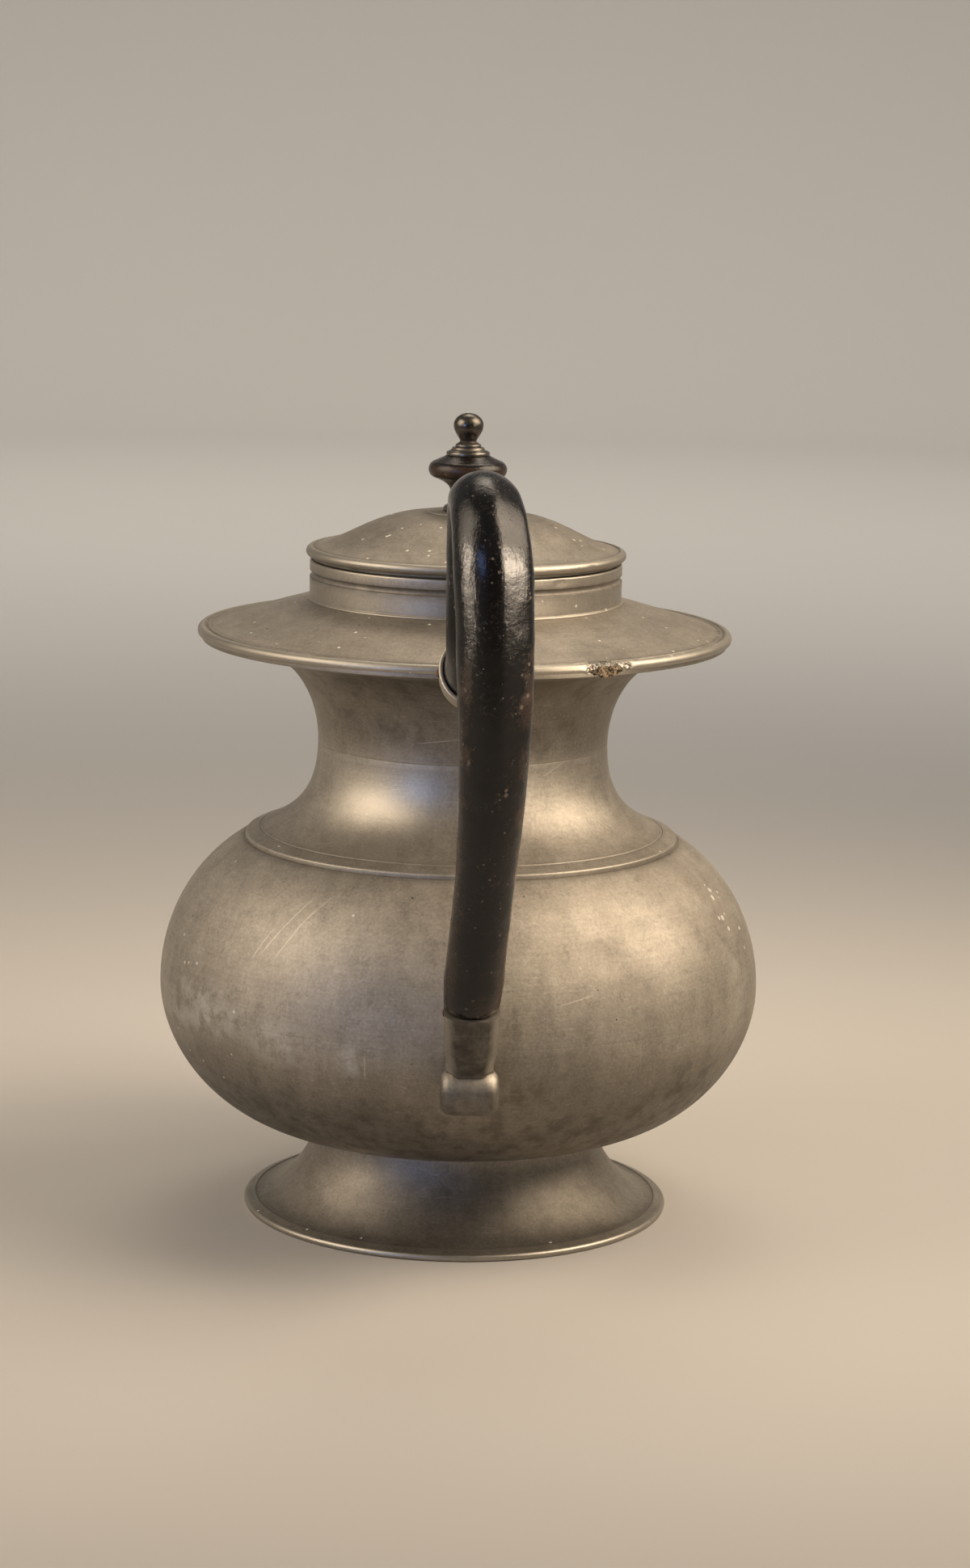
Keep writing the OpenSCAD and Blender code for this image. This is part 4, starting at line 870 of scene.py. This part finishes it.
finialSize = {"rodR": 1.5, "seatR": 6.8, "seatH": 2.6, "knobR": 11.0, "knobH": 13.0, "stemR": 4.8,
              "washerR": 6.1, "washerH": 2.3, "buttonR": 4.2, "buttonH": 9.5, "nutH": 2.6,
              "rub": 0.34, "rubFrom": 9.6, "rubOver": 1.4}
size = finialSize
seatTop = lidTop + size["seatH"]
knobTop = seatTop + size["knobH"]
washerTop = knobTop + size["washerH"]
buttonTop = washerTop + size["buttonH"] - 0.01
seatOutline = [(rodHole, lidTop), (size["seatR"], lidTop), (size["seatR"], lidTop + 0.3 * size["seatH"]),
               (size["seatR"] - 0.5, lidTop + 0.6 * size["seatH"]),
               (size["stemR"] + 0.9, lidTop + 0.66 * size["seatH"]),
               (size["stemR"] + 0.4, seatTop), (rodHole, seatTop)]
widestZ = seatTop + 0.7 * size["knobH"]
knobOutline = [(rodHole, seatTop), (size["stemR"], seatTop)]
knobOutline += bezier((size["stemR"], seatTop), (size["stemR"] - 0.6, seatTop + 3.5),
                      (size["stemR"], widestZ - 4.2), (size["knobR"] - 2.5, widestZ - 2.6), 20)[1:]
knobOutline += arc((size["knobR"] - 2.6, widestZ), 2.6, 2.5, -60, 75, 16)
knobOutline += [(size["washerR"] + 0.6, knobTop - 0.4), (size["washerR"], knobTop), (rodHole, knobTop)]
washerOutline = [(rodHole, knobTop), (size["washerR"], knobTop),
                 (size["washerR"], knobTop + 0.4 * size["washerH"]),
                 (size["washerR"] - 0.9, knobTop + 0.6 * size["washerH"]),
                 (size["washerR"] - 1.5, knobTop + 0.7 * size["washerH"]),
                 (size["washerR"] - 1.7, washerTop), (rodHole, washerTop)]
ringR = size["washerR"] - 2.5
waistZ = washerTop + 1.7
ballH = 0.8 * size["buttonR"]
ballZ = buttonTop - ballH
tailZ = underZ - size["nutH"] - 1
buttonOutline = [(0, tailZ), (size["rodR"], tailZ), (size["rodR"], washerTop), (ringR, washerTop),
                 (ringR, washerTop + 0.7), (2.55, waistZ - 0.4)]
buttonOutline += bezier((2.25, waistZ), (2.55, waistZ + 1), (size["buttonR"], ballZ - 2),
                        (size["buttonR"], ballZ), 16)
buttonOutline += arc((0, ballZ), size["buttonR"], ballH, 0, 90, 14)[1:-1] + [(0, buttonTop)]
for name, outline, finish, slot, node in (
        ("finialSeat", seatOutline, darkMetal, "dark_metal", "finial_seat"),
        ("finialKnob", knobOutline, brownWood, "brown_wood", "finial_knob"),
        ("finialWasher", washerOutline, darkMetal, "dark_metal", "finial_washer"),
        ("finialButton", buttonOutline, darkMetal, "dark_metal", "finial_button")):
    mesh = turned(name, outline, finish, turns=96, edge=0.25, gap=0.5)
    if node == "finial_knob":  # the widest edge is rubbed brown
        reach = [(v.co.xy.length / mm - size["rubFrom"]) / size["rubOver"] for v in mesh.vertices]
        setLayer(mesh, "rub", [size["rub"] * max(0.0, share) for share in reach])
        setLayer(mesh, "run", [v.co.z for v in mesh.vertices])
    addPiece(name, mesh, finish, "lid", slot, node)
print("lid:", "dome and finial turned")

gripSize = {"cupOut": 13.0, "cupUp": 3.7, "cupTilt": 22, "heelMouth": (97.0, 81.0), "heelTilt": 69,
            "archUp": 46.4, "archR": 16.0, "bendR": 13.0, "width": 20.6, "endWidth": 14.7, "oval": 0.85,
            "bow": 3.3, "cupTenon": 8.55, "cupTenonL": 9.35, "heelTenon": 6.25, "heelTenonL": 7.85,
            "legPull": (44, 38), "endRound": 1.6, "endIn": 0.6, "sides": 72,
            "uneven": [(0.22, 13), (0.1, 5)], "unevenIn": 0.3,
            "planed": [(57, 0.89, 22, 37), (126, 0.975, 27, 38)]}
size = gripSize
cupMouth = Vector((brimSize["radius"] + size["cupOut"], brimSeat + size["cupUp"]))
heelMouth = Vector(size["heelMouth"])
cupAxis, heelAxis = along(size["cupTilt"]), along(size["heelTilt"])
gripRoot = cupMouth + 1.5 * cupAxis
bendAt = gripRoot + size["bendR"] * along(size["cupTilt"] + 90)
crown = Vector((bendAt.x + size["bendR"] + size["archR"], cupMouth.y + size["archUp"]))
archAt = crown - Vector((0, size["archR"]))
knee = archAt + Vector((size["archR"], 0))
heelShoulder = heelMouth + 0.15 * heelAxis
bend = arc(bendAt, size["bendR"], size["bendR"], size["cupTilt"] - 90, 0, 24)
arch = arc(archAt, size["archR"], size["archR"], 180, 0, 72)
leg = bezier(knee, knee - Vector((0, size["legPull"][0])), heelShoulder + size["legPull"][1] * heelAxis,
             heelShoulder, 130)
# stations along the wood: 1 upper socket, 2 to 9 bend, 13 to 29 arch, 29 to 55 long leg
spine = [(0.0, cupMouth - size["cupTenonL"] * cupAxis), (1.0, cupMouth)]
spine += [(2 + 7 * i / 24, Vector(p)) for i, p in enumerate(bend)]
spine += [(9 + 4 * i / 12, Vector(bend[-1]).lerp(Vector(arch[0]), i / 12)) for i in range(1, 12)]
spine += [(13 + 16 * i / 72, Vector(p)) for i, p in enumerate(arch)]
spine += [(29 + 26 * i / 130, Vector(p)) for i, p in enumerate(leg)][1:]
spine += [(56.0, heelMouth - 0.1 * heelAxis), (57.0, heelMouth - size["heelTenonL"] * heelAxis)]
half, endHalf = size["width"] / 2, size["endWidth"] / 2
widths = [(0, size["cupTenon"]), (1, size["cupTenon"]), (21, 0.9 * half), (29, half), (35.5, half - 0.5),
          (43.3, (half + endHalf) / 2 - 0.35), (46.4, endHalf + 0.65), (53.2, endHalf + 0.65),
          (55, endHalf)]
rows = {"halfDepth": [], "widen": [], "bow": [], "run": []}
walked = 0.0
for i, (station, point) in enumerate(spine):
    wide = size["heelTenon"] if station > 55 else readAt(widths, station)
    short = (point - heelShoulder).length
    if station <= 55 and short < size["endRound"]:  # the end of the wood is rounded over the socket
        wide -= size["endIn"] * (1 - math.sqrt(1 - ((size["endRound"] - short) / size["endRound"]) ** 2))
    flat = 1.0
    if 1 < station < 55:
        flat = readAt([(0, 1.0), (6, size["oval"])], min(station - 1, 55 - station))
    sway = size["bow"] * math.sin(math.pi * (station - 21) / 34) ** 1.25 if 21 < station < 55 else 0.0
    walked += (point - spine[i - 1][1]).length if i else 0.0
    for name, value in (("halfDepth", wide * flat * mm), ("widen", 1 / flat), ("bow", sway * mm),
                        ("run", walked * mm)):
        rows[name].append(value)
mesh = chain("gripSpine", [(0, -point.x * mm, point.y * mm) for station, point in spine])
for name, values in rows.items():
    setLayer(mesh, name, values)
mesh = cleaned(grown(mesh, barTree, {"Sides": size["sides"], "Finish": blackWood}))
rub = []
runs = [item.value for item in mesh.attributes["run"].data]
for vertex, run in zip(mesh.vertices, runs):
    place = vertex.co / mm
    i = min(bisect.bisect_left(rows["run"], run - 1e-6), len(spine) - 1)
    station, centre = spine[i]
    if 1.5 < station < 54.5:
        # two long facets are planed along the arch and the upper leg
        ahead = (spine[i + 1][1] - spine[i - 1][1]).normalized()
        out = Vector((-ahead.y, ahead.x))
        wide, deep = rows["halfDepth"][i] * rows["widen"][i] / mm, rows["halfDepth"][i] / mm
        offset = Vector((place.x - rows["bow"][i] / mm, (Vector((-place.y, place.z)) - centre).dot(out)))
        for angle, keep, first, stop in size["planed"]:
            face = along(angle)
            fade = readAt([(first - 3, 0), (first + 1, 1), (stop, 1), (stop + 6, 0)], station)
            top = math.hypot(wide * face.x, deep * face.y) * (1 - (1 - keep) * fade)
            excess = 0.3 * math.log1p(math.exp(min((offset.dot(face) - top) / 0.3, 60))) * 0.95 * fade
            vertex.co.x -= excess * face.x * mm
            vertex.co.y += excess * face.y * out.x * mm
            vertex.co.z -= excess * face.y * out.y * mm
        # a spokeshave's slight unevenness, always inwards
        uneven = sum(depth * noise.noise(place / span) for depth, span in size["uneven"])
        uneven -= size["unevenIn"]
        vertex.co += vertex.normal * mm * uneven * readAt([(1.5, 0), (4, 1), (52, 1), (54.5, 0)], station)
    low = readAt([(49, 0), (53.5, 0.2)], station) if station < 55 else 0.0
    aside = abs(place.x - rows["bow"][i] / mm)
    side = readAt([(3.5, 0), (7, 1)], aside) * readAt([(31, 0), (34, 0.25), (55, 0.25)], station)
    rub.append(low + side)
setLayer(mesh, "rub", rub)
addPiece("handleGrip", mesh, blackWood, "pot", "black_wood", "handle_grip")


def onBowl(height):  # a point just clear of the bowl
    return radiusAt(bowlProfile, height) + 0.2, height


# a mesh drawn along +Z is turned about an axis and set at a point of the handle's plane
def inHandlePlane(mesh, at, degrees, axis, aside=0.0):
    mesh.transform(Matrix.Translation((aside * mm, -at[0] * mm, at[1] * mm))
                   @ Matrix.Rotation(math.radians(degrees), 4, axis))
    return mesh


cupSize = {"bore": 8.7, "wall": 1.2, "depth": 9.5, "spigotR": 4.2, "spigotL": 8.0}
size = cupSize
cupR = size["bore"] + size["wall"]
back = -size["depth"] - 2
cupOutline = [(0, back - size["spigotL"]), (size["spigotR"], back - size["spigotL"]),
              (1.6 * size["spigotR"], back - 0.8), (cupR - 1.3, back + 0.6), (cupR - 0.3, back + 2.4),
              (cupR - 0.3, -2.4), (cupR - 0.45, -2.1), (cupR - 0.3, -1.8), (cupR, -1.2), (cupR, -0.3),
              (cupR - 0.3, 0), (size["bore"], 0), (size["bore"], -size["depth"]), (0, -size["depth"])]
mesh = inHandlePlane(turned("upperCup", cupOutline, pewter, turns=96, edge=0.5, gap=0.8), cupMouth,
                     90 - gripSize["cupTilt"], "X")
envelope = flare[8:] + [(neckSize["lipR"], lipZ)] + brimEdge + [peak] + brimTop
envelope = moved(envelope, -0.1) + [(neckSize["waistR"], collarZ), (neckSize["waistR"], flare[8][1])]
mesh = combined(mesh, turned("brimSpace", envelope, pewter, edge=0.0), "DIFFERENCE")
addPiece("upperSocket", markFolds(cleaned(mesh)), pewter, "pot", "pewter", "upper_socket")

heelSize = {"bore": 6.4, "wall": 0.9, "front": 0.6, "depth": 8.0, "strapW": 12.6, "chamfer": 2.9,
            "backChamfer": 1.4, "tailR": 6.2, "tailW": 15.4, "tailBevel": 1.6, "tailGap": 0.3,
            "tailDrop": 9.3, "strapOut": 2.5, "strapDrop": 9.5, "footPull": (1.3, 7), "mouthPull": 10,
            "backPull": 4.5, "edge": 0.45, "frontHalf": 5.2, "steps": 24}
size = heelSize
heelHalf = size["bore"] + size["wall"]
tailAt = Vector((bowlSize["bellyR"] + size["tailR"] + size["tailGap"], bellyZ - size["tailDrop"]))
across = along(gripSize["heelTilt"] - 90)
mouthFront = heelMouth + (heelHalf + size["front"]) * across
mouthBack = heelMouth - heelHalf * across
strapFoot = tailAt + Vector((size["strapOut"], 0))
strapFront = bezier(strapFoot, strapFoot + Vector(size["footPull"]),
                    mouthFront - size["mouthPull"] * heelAxis, mouthFront, size["steps"])
strapTop = heelMouth.y - size["strapDrop"]
middle = size["steps"] // 2
strapBack = [onBowl(tailAt.y + (strapTop - tailAt.y) * i / middle) for i in range(middle)]
strapBack += bezier(onBowl(strapTop), (onBowl(strapTop)[0], strapTop + size["backPull"]),
                    mouthBack - size["backPull"] * heelAxis, mouthBack, size["steps"] - middle)
rings = []
for i, (front, rear) in enumerate(zip(strapFront, strapBack)):
    front, rear = Vector(front), Vector(rear)
    inward = (front - rear).normalized()
    wide = readAt([(0, size["strapW"] / 2), (0.35, size["strapW"] / 2 - 0.1), (0.62, heelHalf - 0.2),
                   (1, heelHalf)], i / size["steps"])
    c, e = size["chamfer"], size["backChamfer"]
    outline = [(e - wide, rear), (wide - e, rear), (wide, rear + e * inward), (wide, front - c * inward),
               (wide - c, front), (c - wide, front), (-wide, front - c * inward), (-wide, rear + e * inward)]
    rings.append([(x, -p.x, p.y) for x, p in outline])
mesh = lofted("lowerSocket", rings)
bevel = size["tailBevel"]
tailEnd = [(0, 0), (size["tailR"] - 1.4 * bevel, 0), (size["tailR"] - 0.7 * bevel, 0.35 * bevel),
           (size["tailR"] - 0.2 * bevel, bevel), (size["tailR"], 2 * bevel)]
tailOutline = tailEnd + [(r, size["tailW"] - z) for r, z in tailEnd[::-1]]
tailRoll = turned("tailRoll", tailOutline, pewter, turns=72, edge=0.5, gap=0.8)
tailRoll = inHandlePlane(tailRoll, tailAt, 90, "Y", -size["tailW"] / 2)
boreOutline = [(0, 0), (size["bore"], 0), (size["bore"], 30), (0, 30)]
bore = inHandlePlane(turned("heelBore", boreOutline, pewter, turns=72, edge=0.0),
                     heelMouth - size["depth"] * heelAxis, 90 - gripSize["heelTilt"], "X")
mesh = combined(combined(mesh, tailRoll, "UNION"), bore, "DIFFERENCE")
mesh = worked(mesh, "BEVEL", width=size["edge"] * mm, segments=3, limit_method="ANGLE",
              angle_limit=math.radians(32), harden_normals=False)
mesh = markFolds(cleaned(mesh, 50))
# painted shade: the strap's flat front and the roll's underside are painted dark, and the rubbed brightness
# fades toward the roll's underside so that its top reads lit from above; the chamfers are rubbed
rubbed = [item.value for item in mesh.attributes["wearAndSheen"].data]
hollow = [item.value for item in mesh.attributes["grimeAndShade"].data]
rows = {"grimeAndShade": [], "stain": [], "wearAndSheen": []}
for i, vertex in enumerate(mesh.vertices):
    place = vertex.co / mm
    onRoll = place.z < tailAt.y + size["tailR"] - 0.4
    paintedShadeFront = vertex.normal.y < -0.6 and abs(place.x) < size["frontHalf"] and not onRoll
    paintedShadeUnderside = readAt([(0.15, 1.0), (0.75, 0.0)], vertex.normal.z) if onRoll else 0.0
    rows["grimeAndShade"].append(1.5 if paintedShadeFront else max(hollow[i], 0.75 * paintedShadeUnderside))
    rows["stain"].append(0.9 if paintedShadeFront else 0.9 * paintedShadeUnderside)
    rows["wearAndSheen"].append(0.0 if paintedShadeFront else max(rubbed[i], 0.3 if onRoll else 0.9) * (1 - 0.8 * paintedShadeUnderside))
for name, values in rows.items():
    setLayer(mesh, name, values)
addPiece("lowerSocket", mesh, pewter, "pot", "pewter", "lower_socket")

pinSize = {"radius": 1.2, "proud": 0.3, "upperIn": 5, "lowerIn": 2.4}
size = pinSize
for name, at, reachOut, node in (
        ("upperCrossPin", cupMouth - size["upperIn"] * cupAxis, cupR, "upper_handle_pin"),
        ("lowerCrossPin", heelMouth - size["lowerIn"] * heelAxis, heelHalf, "lower_handle_pin")):
    length = reachOut + size["proud"]
    pinOutline = [(0, -length), (0.6 * size["radius"], -length + 0.06), (size["radius"], -length + 0.4),
                  (size["radius"], length - 0.4), (0.6 * size["radius"], length - 0.06), (0, length)]
    mesh = inHandlePlane(turned(name, pinOutline, rust, turns=32, edge=0.3, gap=1.5), at, 90, "Y")
    addPiece(name, mesh, rust, "pot", "iron", node)
print("handle:", "grip, sockets and pins made")

spoutSize = {"baseW": 18.0, "baseH": 24.0, "rootUp": 4.0, "midR": 10.0, "tipR": 7.0, "wall": 2.0,
             "out": 48.6, "up": 102.5, "bendOut": 25.5, "bendUp": 42.5, "seam": 0.16, "startOut": 5,
             "startUp": 0.5, "startPull": (10, 3.5), "bendPull": (2.5, 24), "tipPull": (14, 11),
             "sides": 64, "steps": 40}
size = spoutSize
rootZ = bellyZ + size["rootUp"]
spoutTip = Vector((bowlSize["bellyR"] + size["out"], bellyZ + size["up"]))
spoutBend = Vector((bowlSize["bellyR"] + size["bendOut"], bellyZ + size["bendUp"]))
start = Vector((bowlSize["bellyR"] + size["startOut"], rootZ + size["startUp"]))
startLead, bendLead, tipLead = (Vector(size[name]) for name in ("startPull", "bendPull", "tipPull"))
spoutPath = bezier(start, start + startLead, spoutBend - bendLead, spoutBend, size["steps"])
spoutPath += bezier(spoutBend, spoutBend + bendLead, spoutTip - tipLead, spoutTip, size["steps"])[1:]
spoutPath = [Vector(p) for p in spoutPath]


def spoutHalf(t, base):
    return readAt([(0, base), (0.12, base * 0.78 + size["midR"] * 0.22),
                   (0.3, base * 0.36 + size["midR"] * 0.64), (0.5, size["midR"]),
                   (0.8, (size["midR"] + size["tipR"]) / 2 - 0.3), (0.95, size["tipR"] - 0.3),
                   (1, size["tipR"])], t)


def spoutRing(i, inset, push=0.0):
    last = len(spoutPath) - 1
    ahead = (spoutPath[min(i + 1, last)] - spoutPath[max(i - 1, 0)]).normalized()
    t = i / last
    wide, high = (spoutHalf(t, 0.86 * size[k]) - inset for k in ("baseW", "baseH"))
    ring = []
    for j in range(size["sides"]):
        a = 2 * math.pi * j / size["sides"]
        ridge = size["seam"] if inset == 0 and j % (size["sides"] // 2) == size["sides"] // 4 else 0.0
        p = spoutPath[i] + push * ahead + (high + ridge) * math.sin(a) * Vector((-ahead.y, ahead.x))
        ring.append(Vector((wide * math.cos(a), p.x, p.y)))
    return ring


def spoutFoot(inset):
    ring = []
    for j in range(size["sides"]):
        a = 2 * math.pi * j / size["sides"]
        x = (size["baseW"] - inset) * math.cos(a)
        z = rootZ + (size["baseH"] - inset) * math.sin(a)
        ring.append(Vector((x, math.sqrt((radiusAt(bowlProfile, z) + 0.05) ** 2 - x * x), z)))
    return ring


def spoutWall(inset):
    foot, first = spoutFoot(inset), spoutRing(0, inset)
    rings = []
    for k in range(6):  # the root sweeps out of the bowl in a hollow curve
        t = k / 6
        rings.append([p.lerp(q, t ** 1.25) for p, q in zip(foot, first)])
    return rings + [spoutRing(i, inset) for i in range(len(spoutPath))]


last = len(spoutPath) - 1
lip = [spoutRing(last, 1 - math.cos(a), 0.6 * math.sin(a)) for a in (math.pi * k / 8 for k in range(1, 8))]
rings = spoutWall(0) + lip + spoutWall(size["wall"])[::-1]
addPiece("spoutShell", lofted("spoutShell", rings, loop=True), pewter, "pot", "pewter",
         "spout_left", "spout_right")


# the hinge's leaves keep their solids' shape, with the sharp edges eased
def easedCopy(node, width):
    mesh = frame["nodes"][node].data.copy()
    shape = bmesh.new()
    shape.from_mesh(mesh)
    bmesh.ops.remove_doubles(shape, verts=shape.verts, dist=1e-6)
    bmesh.ops.dissolve_limit(shape, angle_limit=math.radians(1), verts=shape.verts, edges=shape.edges)
    shape.to_mesh(mesh)
    shape.free()
    mesh = worked(mesh, "BEVEL", width=width * mm, segments=2, limit_method="ANGLE",
                  angle_limit=math.radians(40))
    return cleaned(mesh, 35)


for name, node, body in (("collarHingeLeaf", "hinge_collar_leaf", "pot"),
                         ("lidHingeLeaf", "hinge_lid_leaf", "lid")):
    addPiece(name, markFolds(easedCopy(node, 0.2)), pewter, body, "pewter", node)
for node, finish in (("hinge_pin", rust), ("lid_bezel", pewter), ("finial_nut", darkMetal)):
    solid = frame["nodes"][node]
    for holder in solid.material_slots:
        holder.material = finish
print("fittings:", "spout and hinge made")


# plain pale stage: a floor that curves up into a round wall
def makeStageFinish(name, code):
    material, tree = newMaterial(name)
    place = addNode(tree, "ShaderNodeTexCoord").outputs["Object"]
    paper = addNode(tree, "ShaderNodeTexNoise", {"Vector": place, "Scale": 1 / 0.4, "Detail": 2.0})
    tone = addNode(tree, "ShaderNodeMapRange", {"Value": paper, "To Min": 0.985, "To Max": 1.015})
    colour = addNode(tree, "ShaderNodeVectorMath", {0: toLinear(code)[:3], 1: tone}, operation="MULTIPLY")
    return endMaterial(material, tree, {"Base Color": colour, "Roughness": 0.9})


stageSize = {"flatR": 1200, "floorR": 2400, "floorZ": -0.2, "cove": 500, "wallH": 1100, "colour": "#bdb9b3"}
size = stageSize
paper = makeStageFinish("palePaper", size["colour"])
stageOutline = [(0, size["floorZ"]), (size["flatR"], size["floorZ"])]
stageOutline += arc((size["floorR"], size["cove"] + size["floorZ"]), size["cove"], size["cove"], -90, 0, 16)
stageOutline += [(size["floorR"] + size["cove"], size["wallH"])]
mesh = chain("stageOutline", [((r - 1) * mm, -z * mm, 0) for r, z in stageOutline])
mesh = grown(mesh, turnTree, {"Turns": 96, "Hub": mm, "Finish": paper})
mesh.name = "paperStage"
stage = bpy.data.objects.new("paperStage", mesh)
scene.collection.objects.link(stage)

# warm gridded softboxes at both sides, two narrow ones for the grip, a weak cool one in front,
# one above and three on the backdrop
lampSizes = [
    {"name": "leftSoftbox", "at": (-0.54, -0.12, 0.46), "aim": (0, 0.05, 0.12), "wide": 0.56, "high": 0.6,
     "watts": 0.86, "spread": 80, "colour": "#ffecd4"},
    {"name": "rightSoftbox", "at": (0.52, -0.06, 0.6), "aim": (0, 0.05, 0.12), "wide": 0.66, "high": 0.62,
     "watts": 2.15, "spread": 80, "colour": "#ffead0"},
    {"name": "leftGripLamp", "at": (-0.2, -0.2, 0.205), "aim": (0, -0.138, 0.205), "wide": 0.03, "high": 0.15,
     "watts": 0.034, "spread": 50, "colour": "#ffecd4"},
    {"name": "rightGripLamp", "at": (0.2, -0.23, 0.25), "aim": (0.01, -0.138, 0.22), "wide": 0.095,
     "high": 0.22, "watts": 0.12, "spread": 40, "colour": "#ffead0"},
    {"name": "coolFill", "at": (-0.72, -1.0, 0.32), "aim": (0, 0, 0.12), "wide": 0.5, "high": 0.5,
     "watts": 0.13, "spread": 36, "colour": "#96b9ff"},
    {"name": "topSoftbox", "at": (0.1, 0.7, 1.3), "aim": (0, 0, 0.1), "wide": 1.0, "high": 0.5,
     "watts": 0.6, "spread": 50, "colour": "#fff0dc"},
]
for name, side, watts in (("backdropSoftbox", (0, 1), 19), ("leftBackdropSoftbox", (-1, 0), 11),
                          ("rightBackdropSoftbox", (1, 0), 11)):
    lampSizes.append({"name": name, "at": (*side, 1.9), "aim": (2.2 * side[0], 2.2 * side[1], 0),
                      "wide": 2.0, "high": 0.8, "watts": watts, "spread": 110, "colour": "#fff8f0"})
for size in lampSizes:
    light = bpy.data.lights.new(size["name"], "AREA")
    light.shape = "RECTANGLE"
    light.size, light.size_y = size["wide"], size["high"]
    light.energy = size["watts"]
    light.spread = math.radians(size["spread"])
    light.color = toLinear(size["colour"])[:3]
    lamp = bpy.data.objects.new(size["name"], light)
    lamp.location = size["at"]
    aim = Vector(size["aim"]) - Vector(size["at"])
    lamp.rotation_euler = aim.to_track_quat("-Z", "Y").to_euler()
    lamp.visible_camera = False
    scene.collection.objects.link(lamp)

world = bpy.data.worlds.new("studioAir")
scene.world = world
world.use_nodes = True
world.node_tree.nodes.clear()
air = addNode(world.node_tree, "ShaderNodeBackground", {"Color": toLinear("#e8e5e0"), "Strength": 0.22})
addNode(world.node_tree, "ShaderNodeOutputWorld", {"Surface": air})

cameraSize = {"away": 1062.4, "up": 317.0, "aside": 6.52, "pitch": 10.404, "roll": 1.128, "turn": -2.5,
              "lens": 87.46, "sensor": 36, "far": 20}
size = cameraSize
lens = bpy.data.cameras.new("photoCamera")
lens.lens = size["lens"]
lens.sensor_width = size["sensor"]
lens.clip_end = size["far"]
camera = bpy.data.objects.new("photoCamera", lens)
camera.matrix_world = (Matrix.Rotation(math.radians(size["turn"]), 4, "Z")
                       @ Matrix.Translation(Vector((size["aside"], -size["away"], size["up"])) * mm)
                       @ Matrix.Rotation(math.radians(90 - size["pitch"]), 4, "X")
                       @ Matrix.Rotation(math.radians(size["roll"]), 4, "Z"))
scene.collection.objects.link(camera)
scene.camera = camera
scene.view_settings.view_transform = "Standard"
print("stage:", "floor, lamps and camera set")
